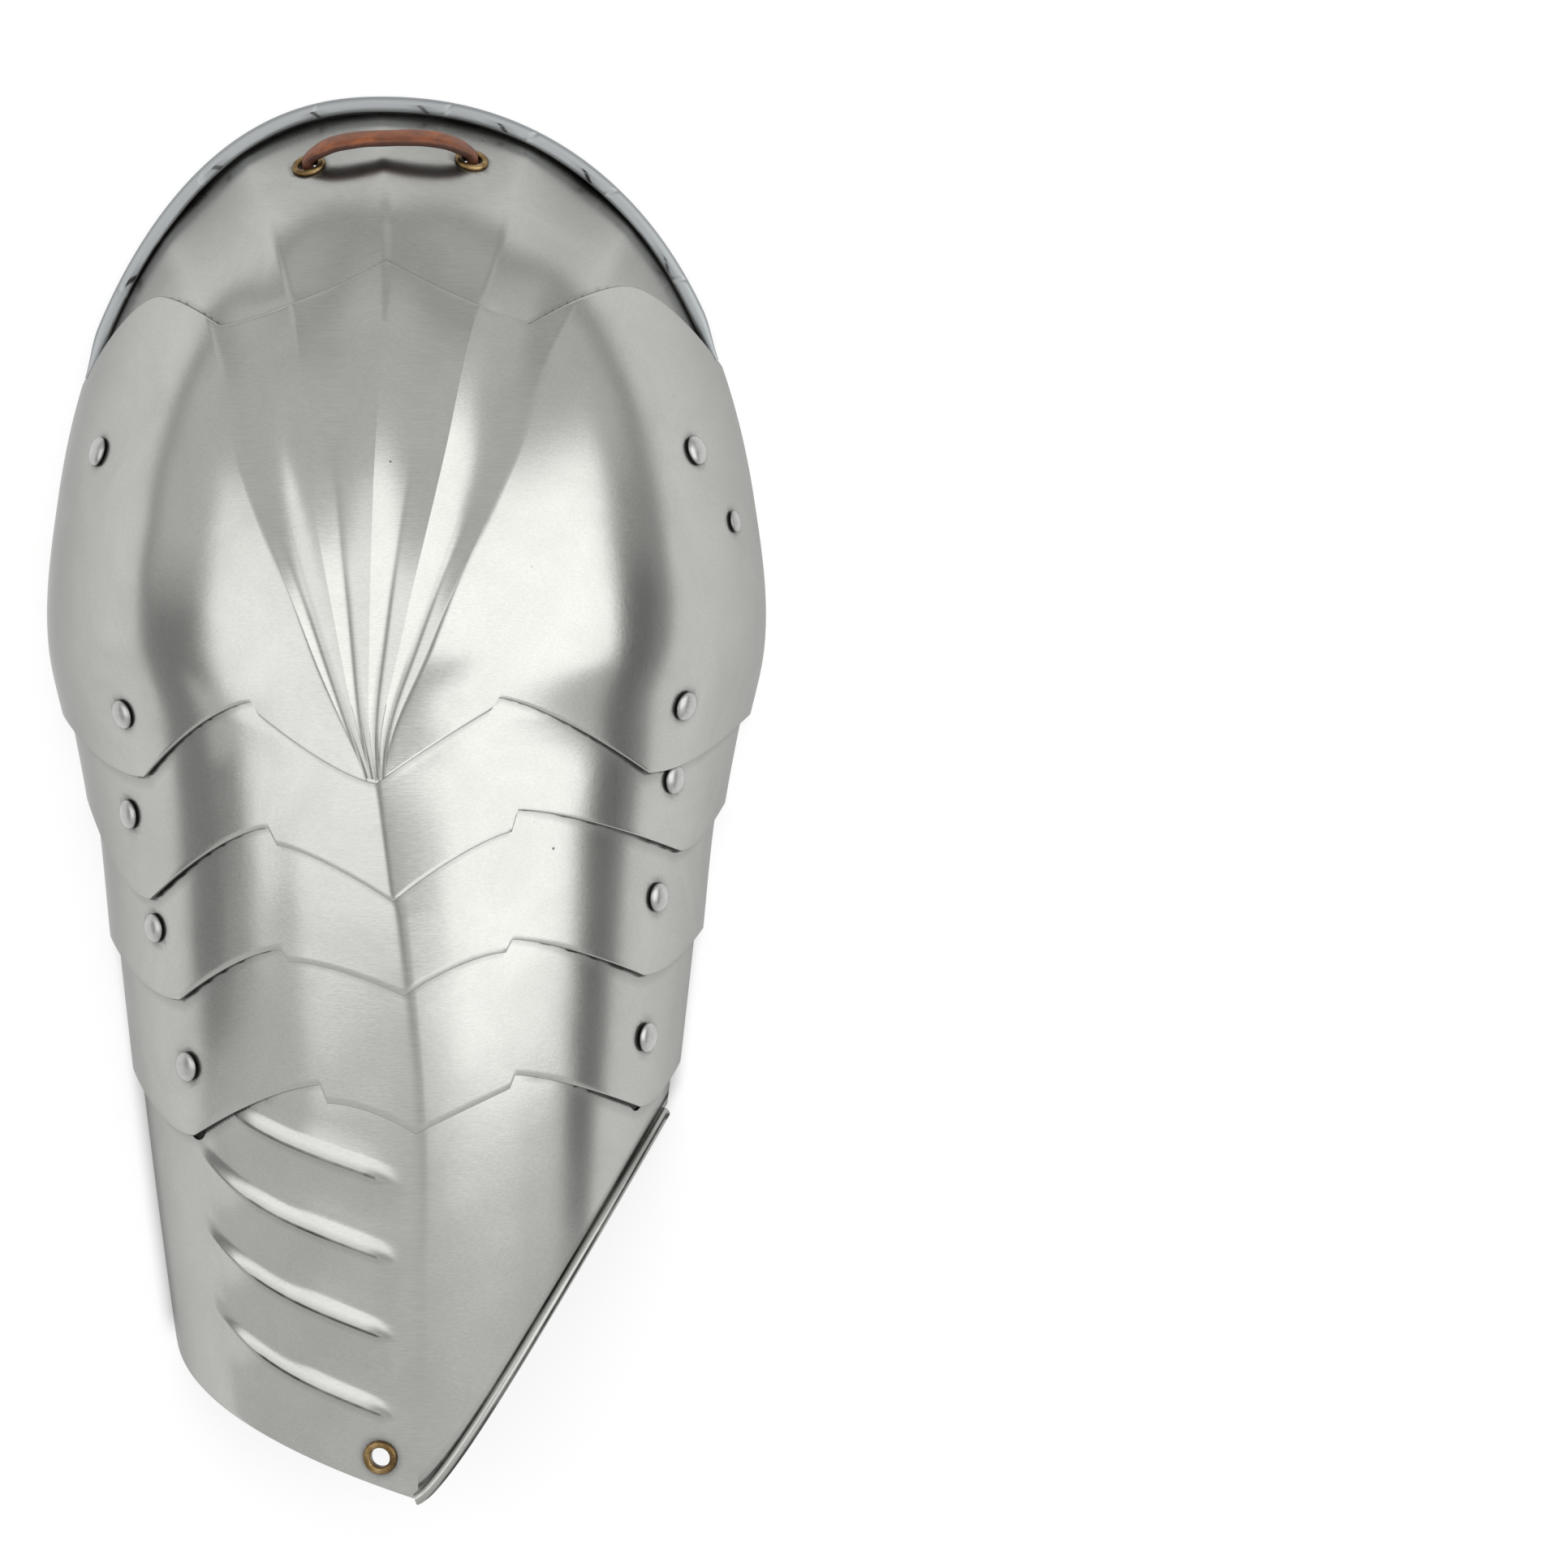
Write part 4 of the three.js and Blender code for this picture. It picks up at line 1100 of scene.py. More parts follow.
def brushedSteel():
    material, nodes, links, shader = newMaterial("brushedSteel")
    place = objectPlace(nodes)

    def maths(operation, *values):
        return mathNode(nodes, links, operation, *values)

    def mixed(factor, first, second, kind="MIX"):
        return mixColour(nodes, links, kind, factor, first, second)

    brush, coarse, smudge, clouds, scratch = (noiseNode(nodes, links, place, *steelLook[name]) for name in
                                              ("brush", "coarse", "smudge", "clouds", "scratch"))
    pits = nodes.new("ShaderNodeTexVoronoi")
    pits.inputs["Scale"].default_value = steelLook["pitScale"]
    links.new(place, pits.inputs["Vector"])
    chosen = nodes.new("ShaderNodeSeparateColor")
    links.new(pits.outputs["Color"], chosen.inputs["Color"])
    pit = maths("MULTIPLY", rangeNode(nodes, links, pits.outputs["Distance"], *steelLook["pitSize"], 1, 0),
                maths("GREATER_THAN", chosen.outputs["Red"], steelLook["pitFew"]))
    fromScratch = maths("ABSOLUTE", maths("SUBTRACT", scratch, steelLook["scratchAt"]))
    scratchLine = rangeNode(nodes, links, fromScratch, 0, steelLook["scratchWidth"], 1, 0)
    colour = mixed(rangeNode(nodes, links, smudge, *steelLook["dullFrom"], 0, 1), steelLook["light"],
                   steelLook["dull"])
    colour = mixed(1.0, colour, rampNode(nodes, links, brush, steelLook["streaks"]), "MULTIPLY")
    colour = mixed(maths("MULTIPLY", pit, steelLook["pitDark"]), colour, steelLook["darkening"])
    # the folded rims are ground matt
    matt = attributeNode(nodes, "matt")
    colour = mixed(maths("MULTIPLY", matt, steelLook["mattShare"]), colour, steelLook["matt"])
    # painted shade: a dark line along each of the seams and grooves, by the distance from it in millimetres,
    # with a soft painted halo beside it
    seamShade = attributeNode(nodes, "seamShade")
    uneven = rangeNode(nodes, links, smudge, *steelLook["unevenFrom"], *steelLook["seamUneven"])
    line = rangeNode(nodes, links, seamShade, *steelLook["seamWidth"], 1, 0, "SMOOTHSTEP")
    halo = rangeNode(nodes, links, seamShade, 0, steelLook["haloWidth"], steelLook["haloDepth"], 0)
    seamDark = maths("MAXIMUM", maths("MULTIPLY", line, uneven), halo)
    # all the painted shade together, which darkens the steel and makes it rougher
    dark = maths("MINIMUM", maths("MAXIMUM", seamDark, attributeNode(nodes, "paintedShade")), steelLook["darkest"])
    links.new(mixed(dark, colour, steelLook["darkening"]), shader.inputs["Base Color"])
    cloudy = maths("ADD", maths("MULTIPLY", smudge, 0.5), maths("MULTIPLY", clouds, 0.5))
    rough = rangeNode(nodes, links, cloudy, *noiseMiddle, *steelLook["roughness"])
    for value, name in ((brush, "roughBrush"), (dark, "roughInShade"), (matt, "roughMatt")):
        rough = maths("ADD", rough, maths("MULTIPLY", value, steelLook[name]))
    links.new(maths("SUBTRACT", rough, maths("MULTIPLY", scratchLine, steelLook["smoothScratch"])),
              shader.inputs["Roughness"])
    shader.inputs["Metallic"].default_value = 1.0
    shader.inputs["Specular Tint"].default_value = steelLook["tint"]
    grain = maths("ADD", brush, maths("MULTIPLY", coarse, steelLook["coarseShare"]))
    fine = bumpNode(nodes, links, grain, steelLook["brushBump"], steelLook["brushDepth"])
    dents = bumpNode(nodes, links, maths("SUBTRACT", smudge, pit), steelLook["dentBump"],
                     steelLook["dentDepth"], fine)
    links.new(dents, shader.inputs["Normal"])
    return material


# Metals of the small parts. Noises are given as scale, detail and roughness.
fasteningLooks = {
    "rivetSteel": {
        "worn": (420, 4, 0.6),
        "patina": (420, 4, 0.6),
        "tones": [(0.3, (0.42, 0.42, 0.41)), (0.65, (0.52, 0.52, 0.51))],
        # colour of the painted shade at the foot of a head
        "darkening": (0.05, 0.045, 0.04),
        "roughness": (0.27, 0.36),
        "bump": (0.12, 0.0002),
    },
    "agedBrass": {
        "worn": (600, 5, 0.65),
        "patina": (210, 3, 0.6),
        # colour of the painted shade at the foot of a ring
        "tones": [(0.3, (0.07, 0.04, 0.018)), (0.5, (0.24, 0.155, 0.065)), (0.72, (0.5, 0.36, 0.18))],
        "darkening": (0.035, 0.025, 0.015),
        "roughness": (0.26, 0.5),
        "bump": (0.3, 0.00015),
    },
}


def fasteningMetal(name):
    look = fasteningLooks[name]
    material, nodes, links, shader = newMaterial(name)
    place = objectPlace(nodes)
    worn, patina = (noiseNode(nodes, links, place, (scale,) * 3, *rest) for scale, *rest in
                    (look["worn"], look["patina"]))
    # painted shade at the foot darkens the metal
    colour = mixColour(nodes, links, "MIX", attributeNode(nodes, "paintedShade"),
                       rampNode(nodes, links, patina, look["tones"]), look["darkening"])
    links.new(colour, shader.inputs["Base Color"])
    rough = rangeNode(nodes, links, worn, *noiseMiddle, *look["roughness"])
    links.new(rough, shader.inputs["Roughness"])
    shader.inputs["Metallic"].default_value = 1.0
    links.new(bumpNode(nodes, links, worn, *look["bump"]), shader.inputs["Normal"])
    return material


leatherLook = {
    "tone": ((160, 260, 260), 4, 0.6),
    "tones": [(0.25, (0.06, 0.016, 0.005)), (0.5, (0.17, 0.045, 0.011)), (0.75, (0.34, 0.1, 0.024))],
    # colour of the painted shade on the lace's underside and edges
    "edge": (0.03, 0.012, 0.008),
    "roughness": (0.36, 0.55),
    "poreScale": 1500,
    "bump": (0.35, 0.0002),
}


def laceLeather():
    material, nodes, links, shader = newMaterial("laceLeather")
    place = objectPlace(nodes)
    tone = noiseNode(nodes, links, place, *leatherLook["tone"])
    pores = nodes.new("ShaderNodeTexVoronoi")
    pores.inputs["Scale"].default_value = leatherLook["poreScale"]
    links.new(place, pores.inputs["Vector"])
    # painted shade on the underside and edges darkens the leather
    colour = mixColour(nodes, links, "MIX", attributeNode(nodes, "paintedShade"),
                       rampNode(nodes, links, tone, leatherLook["tones"]), leatherLook["edge"])
    links.new(colour, shader.inputs["Base Color"])
    rough = rangeNode(nodes, links, tone, *noiseMiddle, *leatherLook["roughness"])
    links.new(rough, shader.inputs["Roughness"])
    shader.inputs["Specular IOR Level"].default_value = 0.5
    grain = mathNode(nodes, links, "ADD", pores.outputs["Distance"], tone)
    links.new(bumpNode(nodes, links, grain, *leatherLook["bump"]), shader.inputs["Normal"])
    return material


# Paints one value for each vertex: the painted shade and matt from 0 to 1, the distance to a painted shade
# line in millimetres
def paint(piece, name, values, most=1.0):
    attribute = piece.data.attributes.new(name, "FLOAT", "POINT")
    attribute.data.foreach_set("value", np.clip(values, 0, most).astype(np.float32))


def vertexPoints(piece):
    points = np.empty(len(piece.data.vertices) * 3)
    piece.data.vertices.foreach_get("co", points)
    points = points.reshape(-1, 3) / mm
    points[:, 1] -= frameShift
    return points


# Where a point lies between the keel and the rim, from -1 to 1
def acrossShare(x, y, layer):
    rim = rimAt(y, np.where(x < keelAt(y), -1, 1), layer * form["layerPitch"])
    return np.clip((x - keelAt(y)) / np.abs(rim - keelAt(y)), -1, 1)


# How far a vertex lies inside the neck's edge, as a share of the neck's reach
def insideNeck(x, y):
    return (1 - shareOf(x, y, form["layerPitch"])[2]) * form["neckReach"]


# Painted shade lines by their distance in millimetres. Past "far" there is none.
seams = {
    "far": 20.0,
    # under a hem the painted shadow widens as the gap opens from the keel towards the lobes
    "lobe": (0.35, 0.75),
    "hemNarrow": 1.2,
    "hemOpening": 0.65,
    "hemStart": 0.26,
    "scallopNarrow": 1.5,
    "scallopStart": 0.25,
    # in the valleys near the point of the fan
    "fluteReach": 13.0,
    "fluteFall": 0.35,
    "fluteBeyond": 2,
    # below each rib and beside the arm's roll
    "ribEnds": ((0.04, 0.2), (0.75, 1.0)),
    "ribKeel": 0.02,
    "ribDrop": 0.1,
    "ribNarrow": 0.85,
    "ribFade": 3,
    "rollShare": 0.58,
    "rollRadii": 1.05,
    "rollHalf": 0.12,
}


# Painted shadow on a plate just below the hem of the plate above
def hemShade(piece, edgeName, layer):
    x, y, _ = vertexPoints(piece).T
    across = acrossShare(x, y, layer)
    lobe = smoothStep(np.abs(across), *seams["lobe"])
    below = np.maximum(edgeAt(edgeName, across) - y, 0)
    return below * (seams["hemNarrow"] - seams["hemOpening"] * lobe) + seams["hemStart"] * (1 - lobe)


groove = {
    "roll": 1.55,
    "deep": 0.5,
    "fluteGap": 0.4,
    "fluteEnd": 1.05,
    "narrow": 2.4,
    "share": 0.93,
    "above": 0.2,
    "outside": -0.6,
    "nickFrom": -1.3,
    "nickTo": 0.6,
    "nickSpread": 3.2,
}


# Painted shade along the groove inside the rolled rim, a black line which narrows where a flute's ridge meets
# it
def neckGrooveShade(piece):
    x, y, z = vertexPoints(piece).T
    u, v, _ = shareOf(x, y, form["layerPitch"])
    inside = insideNeck(x, y) * groove["share"]
    p = (x - keelAt(y)) / fanAt(y)
    narrow = np.where(np.abs(p) < groove["fluteEnd"], np.abs(np.cos(math.pi * flutes["count"] * p / 2)), 0)
    at = np.abs(inside - groove["roll"]) - groove["deep"] + narrow * groove["fluteGap"]
    line = np.maximum(at * groove["narrow"], 0)
    line = np.where((z < groove["above"]) | (inside < groove["outside"]), seams["far"], line)
    # painted shade in the nicks across the roll
    rays = np.arctan2(np.sign(p) * np.abs(u), v)
    first, last = neckRays()
    for share in neckRim["nicks"]:
        ray = first + (last - first) * share
        off = np.abs((rays - ray) * np.hypot(x, y) - neckRim["nickLean"] * inside) / groove["nickSpread"]
        onRoll = (inside < groove["nickTo"]) & (inside > groove["nickFrom"])
        line = np.where(onRoll, np.minimum(line, off), line)
    return line


# Painted shade darkens the neck plate towards its rim, most of all in the valleys, and its roll is ground
# matt
neckShadeAndMatt = {"least": 0.1, "valley": 0.2, "earFrom": 1.12, "from": 1.2, "full": 6, "end": 34,
              "mattBelow": 6, "mattFrom": 0.7, "mattTo": 1.2}


def neckRimShade(piece):
    x, y, _ = vertexPoints(piece).T
    inside = insideNeck(x, y)
    p = np.abs((x - keelAt(y)) / fanAt(y))
    valley = np.where(p < 1, np.abs(np.sin(math.pi * flutes["count"] * p / 2)),
                      smoothStep(p, 1, neckShadeAndMatt["earFrom"]))
    # the painted shade: strongest near the rim and in the valleys, fading out further in
    dull = neckShadeAndMatt["least"] + neckShadeAndMatt["valley"] * valley
    dull = dull * (1 - smoothStep(inside, neckShadeAndMatt["full"], neckShadeAndMatt["end"]))
    return np.where(inside > neckShadeAndMatt["from"], dull, 0)


def neckMatt(piece):
    x, y, z = vertexPoints(piece).T
    inside = insideNeck(x, y) * groove["share"]
    matt = 1 - smoothStep(inside, neckShadeAndMatt["mattFrom"], neckShadeAndMatt["mattTo"])
    return np.where(z < neckShadeAndMatt["mattBelow"], matt, 0)


# Painted shade on the neck plate close to the main plate's scalloped edge
def scallopShade(piece):
    x, y, _ = vertexPoints(piece).T
    beyond = np.maximum(y - edgeAt("mainTop", acrossShare(x, y, 1)), 0)
    return beyond * seams["scallopNarrow"] + seams["scallopStart"]


# Painted shade in the valleys near the point of the fan
def fluteValleyShade(piece):
    x, y, _ = vertexPoints(piece).T
    p = (x - keelAt(y)) / fanAt(y)
    fromPoint = y - float(lengthAt(flutes["along"][-2]))
    share = np.abs(p) * flutes["count"] / 2
    offValley = np.abs(share - np.floor(share) - 0.5) * 2 * fanAt(y) / flutes["count"]
    line = offValley + np.maximum(fromPoint / seams["fluteReach"], 0) * seams["fluteFall"]
    return np.where((np.abs(p) < 1) & (fromPoint > -seams["fluteBeyond"]), line, seams["far"])


# Painted shade: a fine line below each rib's crisp edge, one beside the arm's roll, and the shadow under the
# hem of the last lame
def armShade(piece):
    x, y, _ = vertexPoints(piece).T
    inset = form["armLayer"] * form["layerPitch"]
    across = (x - keelAt(y)) / np.abs(sideAt(y, np.where(x < keelAt(y), -1, 1), inset))
    distance = hemShade(piece, "lameCHem", form["armLayer"])
    reach = -across / ribs["span"]
    start, end = seams["ribEnds"]
    fade = smoothStep(reach, *start) * (1 - smoothStep(reach, *end))
    for k in range(ribs["count"]):
        below = np.abs(ribEdge(k, across) - y + seams["ribDrop"]) * seams["ribNarrow"]
        line = np.where(reach > seams["ribKeel"], below + (1 - fade) * seams["ribFade"], seams["far"])
        distance = np.minimum(distance, line)
    toHem = np.abs(edgeAt("armHem", np.clip(across, -1, 1)) - y)
    toRoll = np.abs(toHem * seams["rollShare"] - armRim["radius"] * seams["rollRadii"])
    line = np.maximum(toRoll - seams["rollHalf"], 0)
    return np.minimum(distance, np.where(across > armRim["start"], line, seams["far"]))


# Painted shade round the rivets and eyelets on the plates, darkest under their heads and in their holes
contactShadeLook = {"width": 0.7, "strength": 0.75, "hidden": 0.9, "hiddenFrom": -1.2}


def paintPlateShade(piece, places, radii, dull=0.0):
    points = vertexPoints(piece)
    # dull carries the neck plate's painted shade; it is zero on the other plates
    darkening = np.zeros(len(points)) + dull
    for place, radius in zip(places, radii):
        gap = np.linalg.norm(points - np.array(skinAt(*place[:3])[0]), axis=1) - radius
        around = contactShadeLook["strength"] * np.exp(-np.maximum(gap, 0) / contactShadeLook["width"])
        darkening = np.maximum(darkening, np.where(gap > contactShadeLook["hiddenFrom"], around, contactShadeLook["hidden"]))
    paint(piece, "paintedShade", darkening)


# How high each vertex of a fastening stands over the plate
def levelsOver(piece, place):
    centre, normal = skinAt(*place[:3])
    return (vertexPoints(piece) - np.array(centre)) @ np.array(normal)


def assign(piece, material, body, slotName, *nodes):
    piece.data.materials.clear()
    piece.data.materials.append(material)
    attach(piece, body)
    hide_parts(*nodes)


# Painted shade on a head: how dark its foot and its hidden shank are, and how fast it fades upwards
headShade = {"foot": 0.96, "over": 0.05, "width": 0.3, "shank": 0.4}
# painted shade at the foot of each eyelet's ring, and how fast it fades upwards
ringShade = {"foot": 0.7, "width": 0.3}


def buildMainPlate(steel):
    held = [place for place in rivets.values() if place[2] == 0]
    sheet = mainPlate()
    cutHoles(sheet, [boreTool(place, holes["shank"]) for place in held])
    sheet.name = "mainPlateFluted"
    # painted shade round the rivets, and in the flute valleys near the point of the fan
    paintPlateShade(sheet, held, [head["radius"]] * 4 + [strapHead["radius"]])
    paint(sheet, "seamShade", fluteValleyShade(sheet), seams["far"])
    assign(sheet, steel, "main", "steel", "main_plate")
    print("main plate", len(sheet.data.polygons))


def buildNeckPlate(steel):
    held = [eyelets["eyelet_loop_left"], eyelets["eyelet_loop_right"]]
    pivots = [rivets["rivet_main_top_left"], rivets["rivet_main_top_right"]]
    sheet = joined("neckPlateRolled", [neckPlate(), neckRoll()])
    cutHoles(sheet, [boreTool(place, holes["barrel"]) for place in held]
             + [boreTool(place, holes["shank"]) for place in pivots])
    # painted shade towards the rim and round the eyelets, in the groove and nicks of the roll, and by the
    # scalloped edge
    paintPlateShade(sheet, held, [flangeRing["outer"]] * 2, neckRimShade(sheet))
    paint(sheet, "seamShade", np.minimum(neckGrooveShade(sheet), scallopShade(sheet)), seams["far"])
    paint(sheet, "matt", neckMatt(sheet))
    assign(sheet, steel, "neck", "steel", "top_plate")
    print("neck plate", len(sheet.data.polygons))


def buildLames(steel):
    lames = [("lameA", "mainHem", 1, "first_lame", "lame_a", "rivet_main_a", "rivet_a_b"),
             ("lameB", "lameAHem", 2, "second_lame", "lame_b", "rivet_a_b", "rivet_b_c"),
             ("lameC", "lameBHem", 3, "third_lame", "lame_c", "rivet_b_c", "rivet_c_arm")]
    for name, hemAbove, layer, body, node, above, own in lames:
        sheet = lamePlate(name, name + "Top", name + "Hem", layer, layer + 2)
        held = [rivets[f"{group}_{side}"] for group in (above, own) for side in ("left", "right")]
        cutHoles(sheet, [boreTool(place, holes["shank"]) for place in held])
        # painted shade round the plate's own rivets and under the hem of the plate above
        paintPlateShade(sheet, held[2:], [head["radius"]] * 2)
        paint(sheet, "seamShade", hemShade(sheet, hemAbove, layer), seams["far"])
        assign(sheet, steel, body, "steel", node)
        print(name, len(sheet.data.polygons))


def buildArmPlate(steel):
    eyelet = eyelets["eyelet_arm"]
    sheet = joined("armPlateRibbed", [armPlate(), armRoll()])
    cutHoles(sheet, [boreTool(eyelet, holes["barrel"]), slotTool(rivets["rivet_c_arm_left"]),
                     slotTool(rivets["rivet_c_arm_right"])])
    # painted shade round the eyelet, under the ribs, beside the roll and under the last lame
    paintPlateShade(sheet, [eyelet], [flangeRing["outer"]])
    paint(sheet, "seamShade", armShade(sheet), seams["far"])
    assign(sheet, steel, "arm", "steel", "arm_plate")
    print("arm plate", len(sheet.data.polygons))


def buildFastenings():
    rivetMetal = fasteningMetal("rivetSteel")
    brass = fasteningMetal("agedBrass")
    for seed, (name, place) in enumerate(rivets.items()):
        piece = rivetPiece(name, place, seed)
        # painted shade at the foot of the head and on its hidden shank
        level = levelsOver(piece, place)
        overFoot = level - (head["seat"] + head["skirt"]) - headShade["over"]
        fading = headShade["foot"] * np.exp(-np.maximum(overFoot, 0) / headShade["width"])
        paint(piece, "paintedShade", np.where(level > 0, fading, headShade["shank"]))
        assign(piece, rivetMetal, place[3], "rivet_steel", name)
    for seed, (name, place) in enumerate(eyelets.items()):
        piece = eyeletPiece(name, place, seed)
        # painted shade at the foot of the ring
        over = np.maximum(levelsOver(piece, place), 0)
        paint(piece, "paintedShade", ringShade["foot"] * np.exp(-over / ringShade["width"]))
        assign(piece, brass, place[3], "brass", name)
    print("rivets and eyelets", len(rivets) + len(eyelets))


def buildPauldron():
    steel = brushedSteel()
    buildMainPlate(steel)
    buildNeckPlate(steel)
    buildLames(steel)
    buildArmPlate(steel)
    buildFastenings()
    loop = leatherLoop()
    # painted shade on the lace's underside and edges
    paint(loop, "paintedShade", laceUndersideShade(loop))
    assign(loop, laceLeather(), "neck", "leather", "leather_loop")
    print("leather loop", len(loop.data.polygons))


# Studio

studio = {
    "floorSize": 6.0,
    "cameraHeight": 2.0,
    "cameraX": 0.1029,
    "cameraY": 0.0022,
    "pixelsPerMillimetre": 4.52,
    "imagePixels": 1932,
    "room": 0.78,
    "softboxRight": 1.95,
    "softboxLeft": 1.62,
    "flagRight": 0.25,
    "flagLeft": 0.4,
    "flagBack": 0.72,
    "viewer": 0.34,
    "viewerWidest": 30,
    "viewerSoft": 3,
    "lightTint": (1.0, 1.0, 0.995, 1),
    "floorBase": 0.3,
    # the floor glows, a painted pool of light round the part that fades out between glowFrom and glowTo
    "floorGlow": 0.72,
    "glowMiddle": -0.1,
    "glowFrom": 0.48,
    "glowTo": 0.6,
    # the painted shadow under the shell, in millimetres
    "shadeMargin": 4.0,
    "shadeSoft": 9.0,
    "shadeEnds": (-150.0, 172.0),
    "shadeSteps": 24,
    "diagonalSteps": 200,
    "shadeSpan": 100,
}


# Level of light by the angle from straight up, in degrees
lightLevels = {
    "boxRight": [(0, 0), (4, 1), (73, 1), (79, 0)],
    "boxLeft": [(-69, 0), (-63, 1), (-4, 1), (0, 0)],
    "rightAlong": [(-60, 0), (-50, 1), (25, 1), (34, 0)],
    "leftAlong": [(-60, 0), (-50, 1), (20, 1), (30, 0)],
    "flagRight": [(76, 0), (80, 1), (98, 1), (112, 0)],
    "flagLeft": [(-97, 0), (-89, 1), (-73, 1), (-66, 0)],
    "flagRightAlong": [(-34, 0), (-26, 1), (4, 1), (32, 0)],
    "flagLeftAlong": [(-60, 0), (-44, 1), (-1, 1), (17, 0)],
    "flagBack": [(56, 0), (70, 1), (80, 0.5), (90, 0.2)],
    # how far to the right the camera and its stand reach, as a share of viewerWidest
    "viewerEdge": [(-40, 0.25), (-24, 0.4), (-20, 0.6), (-17, 1), (-13.5, 0.95), (-11, 0.3), (20, 0.15)],
    "viewerLeft": [(-11, 0), (-5, 1)],
    "viewerAlong": [(-42, 0), (-30, 1), (10, 1), (26, 0.3), (40, 0)],
}


def levelAt(nodes, links, degrees, name):
    stops = [((angle + 180) / 360, (level,) * 3) for angle, level in lightLevels[name]]
    turn = rangeNode(nodes, links, degrees, -180, 180, 0, 1)
    return rampNode(nodes, links, turn, stops, "EASE")


def buildWorld():
    world = bpy.data.worlds.new("studioLight")
    bpy.context.scene.world = world
    world.use_nodes = True
    nodes = world.node_tree.nodes
    links = world.node_tree.links
    parts = nodes.new("ShaderNodeSeparateXYZ")
    links.new(nodes.new("ShaderNodeTexCoord").outputs["Generated"], parts.inputs["Vector"])

    def maths(operation, *values):
        return mathNode(nodes, links, operation, *values)

    turned = {"across": maths("ARCTAN2", parts.outputs["X"], parts.outputs["Z"]),
              "along": maths("ARCSINE", parts.outputs["Y"])}
    degrees = {way: maths("MULTIPLY", angle, 180 / math.pi) for way, angle in turned.items()}

    def seenAt(**names):
        levels = [levelAt(nodes, links, degrees[way], name) for way, name in names.items()]
        return product(nodes, links, *levels)

    level = studio["room"]
    for name, seen in (("softboxRight", seenAt(across="boxRight", along="rightAlong")),
                       ("softboxLeft", seenAt(across="boxLeft", along="leftAlong"))):
        level = maths("ADD", level, maths("MULTIPLY", seen, studio[name] - studio["room"]))
    # the camera and its stand show in the middle of the steel
    edge = maths("SUBTRACT", maths("MULTIPLY", seenAt(along="viewerEdge"), studio["viewerWidest"]),
                 degrees["across"])
    soft = studio["viewerSoft"]
    viewer = product(nodes, links, rangeNode(nodes, links, edge, -soft, soft, 0, 1, "SMOOTHSTEP"),
                     seenAt(across="viewerLeft", along="viewerAlong"))
    # dark flags stand at both sides and beyond the neck
    for name, seen in (("flagRight", seenAt(across="flagRight", along="flagRightAlong")),
                       ("flagLeft", seenAt(across="flagLeft", along="flagLeftAlong")),
                       ("flagBack", seenAt(along="flagBack")), ("viewer", viewer)):
        level = maths("MULTIPLY", level, maths("SUBTRACT", 1, maths("MULTIPLY", seen, 1 - studio[name])))
    background = nodes["Background"]
    links.new(level, background.inputs["Strength"])
    background.inputs["Color"].default_value = studio["lightTint"]


# Both sides of the shell's footprint, a little inside it, at even steps of length, in millimetres
def shellOutline():
    y = np.linspace(*studio["shadeEnds"], studio["shadeSteps"]) - frameShift
    across = np.linspace(0, 1, studio["diagonalSteps"])
    diagonal = edgeAt("armHem", across)
    onDiagonal = np.interp(y, diagonal, acrossAt(across, diagonal, 0), right=np.inf)
    right = np.minimum(rimAt(y, 1, 0), onDiagonal)
    return rimAt(y, -1, 0) + studio["shadeMargin"], right - studio["shadeMargin"]


# Cards light the steel but don't show themselves
def stageCard(panel, material):
    panel.data.materials.append(material)
    panel.visible_camera = False


# A surface that glows, without a highlight
def glowing(shader, base):
    shader.inputs["Base Color"].default_value = (base, base, base, 1)
    shader.inputs["Specular IOR Level"].default_value = 0.0
    shader.inputs["Emission Color"].default_value = (1, 1, 1, 1)


# A grey card hangs over the arm's side and covers the near parts of both softboxes
card = {
    "height": 0.5,
    "halfWidth": 2.6,
    "far": -2.8,
    "level": 0.8,
    # where its soft edge begins and ends on each side, and how much it recedes sideways
    "right": (-0.19, -0.32, 0.14),
    "left": (-0.187, -0.24, 0.2),
    "middle": 0.05,
    # its far left is darker
    "dim": (-1.9, -3.0, 0.5),
}


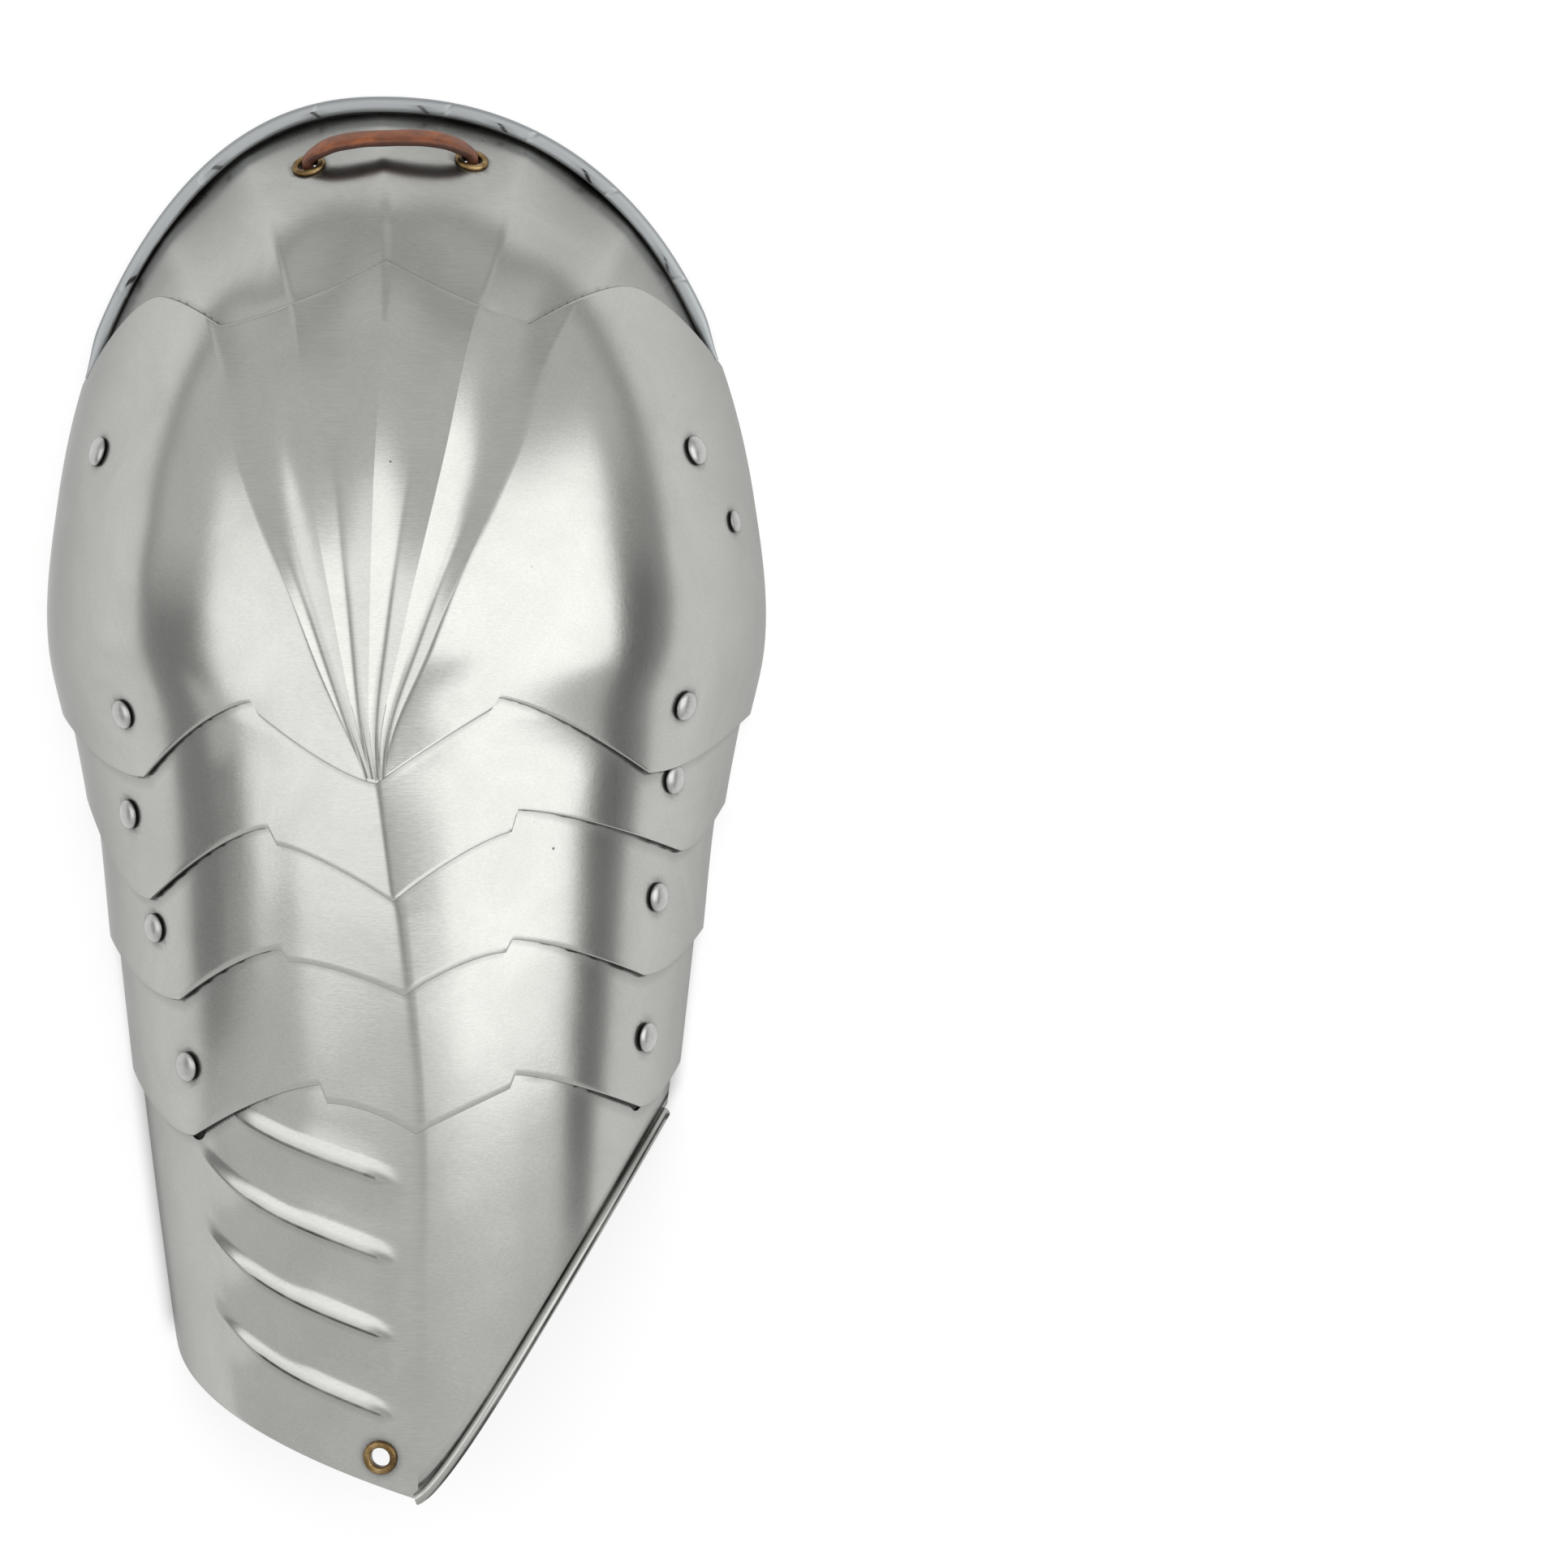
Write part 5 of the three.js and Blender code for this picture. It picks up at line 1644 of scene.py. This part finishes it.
def buildCard():
    wide, height, near = card["halfWidth"], card["height"], card["right"][0]
    panel = meshObject("greyCard", [(-wide, card["far"], height), (wide, card["far"], height),
                                    (wide, near, height), (-wide, near, height)], [[0, 1, 2, 3]])
    material, nodes, links, _ = newMaterial("greyCard")
    spot = nodes.new("ShaderNodeSeparateXYZ")
    links.new(objectPlace(nodes), spot.inputs["Vector"])
    width = mathNode(nodes, links, "ABSOLUTE", spot.outputs["X"])
    covers = []
    for side in ("left", "right"):
        start, end, recede = card[side]
        place = mathNode(nodes, links, "ADD", spot.outputs["Y"], product(nodes, links, width, recede))
        covers.append(rangeNode(nodes, links, place, start, end, 0, 1, "SMOOTHSTEP"))
    toRight = rangeNode(nodes, links, spot.outputs["X"], -card["middle"], card["middle"], 0, 1)
    cover = nodes.new("ShaderNodeMix")
    for name, value in (("Factor", toRight), ("A", covers[0]), ("B", covers[1])):
        links.new(value, cover.inputs[name])
    grey = nodes.new("ShaderNodeEmission")
    start, end, dim = card["dim"]
    strength = rangeNode(nodes, links, spot.outputs["X"], start, end, card["level"], dim)
    links.new(strength, grey.inputs["Strength"])
    both = nodes.new("ShaderNodeMixShader")
    links.new(cover.outputs["Result"], both.inputs["Fac"])
    links.new(nodes.new("ShaderNodeBsdfTransparent").outputs["BSDF"], both.inputs[1])
    links.new(grey.outputs["Emission"], both.inputs[2])
    links.new(both.outputs["Shader"], nodes["Material Output"].inputs["Surface"])
    stageCard(panel, material)


# Two upright cards light the flanks of the arm plate
sideCards = {"places": (-0.35, 0.5), "start": (-0.15, -0.25), "end": -1.2, "low": 0.001, "high": 0.32,
             "level": 0.78}


def buildSideCards():
    material, _, _, shader = newMaterial("sideCard")
    glowing(shader, 0)
    shader.inputs["Emission Strength"].default_value = sideCards["level"]
    end, low, high = sideCards["end"], sideCards["low"], sideCards["high"]
    for n, (x, start) in enumerate(zip(sideCards["places"], sideCards["start"])):
        corners = [(x, start, low), (x, end, low), (x, end, high), (x, start, high)]
        stageCard(meshObject(f"sideCard{n}", corners, [[0, 1, 2, 3]]), material)


# Painted shadow: how much of the floor's glow is taken off under the shell, from 0 to 1
def paintedShellShadow(nodes, links):
    spot = nodes.new("ShaderNodeSeparateXYZ")
    links.new(objectPlace(nodes), spot.inputs["Vector"])
    low, high = (end * mm for end in studio["shadeEnds"])
    soft = studio["shadeSoft"] * mm
    span = studio["shadeSpan"]
    along = rangeNode(nodes, links, spot.outputs["Y"], low, high, 0, 1)
    shades = []
    for sides, sign in zip(shellOutline(), (1, -1)):
        stops = [(n / (len(sides) - 1), (side * sign * -1 / span,) * 3) for n, side in enumerate(sides)]
        edge = rampNode(nodes, links, along, stops)
        inside = mathNode(nodes, links, "ADD", product(nodes, links, spot.outputs["X"], sign),
                          product(nodes, links, edge, span * mm))
        shades.append(rangeNode(nodes, links, inside, 0, soft, 0, 1, "SMOOTHSTEP"))
    shades.append(rangeNode(nodes, links, spot.outputs["Y"], low, low + soft, 0, 1, "SMOOTHSTEP"))
    shades.append(rangeNode(nodes, links, spot.outputs["Y"], high - soft, high, 1, 0, "SMOOTHSTEP"))
    return product(nodes, links, *shades)


def buildFloor():
    side = studio["floorSize"] / 2
    floor = meshObject("floor", [(-side, -side, 0), (side, -side, 0), (side, side, 0), (-side, side, 0)],
                       [[0, 1, 2, 3]])
    material, nodes, links, shader = newMaterial("paleFloor")
    glowing(shader, studio["floorBase"])
    shader.inputs["Roughness"].default_value = 1.0
    # painted pool of light: the floor glows most where the part lies, and the painted shadow takes its glow
    # off under the shell
    middle = nodes.new("ShaderNodeVectorMath")
    middle.operation = "DISTANCE"
    middle.inputs[1].default_value = (studio["glowMiddle"], 0, 0)
    links.new(objectPlace(nodes), middle.inputs[0])
    glow = rangeNode(nodes, links, middle.outputs["Value"], studio["glowFrom"], studio["glowTo"],
                     studio["floorGlow"], 0, "SMOOTHSTEP")
    lit = mathNode(nodes, links, "SUBTRACT", 1, paintedShellShadow(nodes, links))
    links.new(product(nodes, links, glow, lit), shader.inputs["Emission Strength"])
    floor.data.materials.append(material)


def buildCamera():
    camera = bpy.data.cameras.new("camera")
    holder = bpy.data.objects.new("camera", camera)
    bpy.context.scene.collection.objects.link(holder)
    holder.location = (studio["cameraX"], studio["cameraY"], studio["cameraHeight"])
    half = studio["imagePixels"] / 2 / studio["pixelsPerMillimetre"] * mm
    camera.sensor_fit = "HORIZONTAL"
    camera.angle = 2 * math.atan(half / studio["cameraHeight"])
    bpy.context.scene.camera = holder


def buildStudio():
    buildWorld()
    buildCard()
    buildSideCards()
    buildFloor()
    buildCamera()
    bpy.context.scene.view_settings.view_transform = "Standard"
    print("studio")


buildPauldron()
buildStudio()
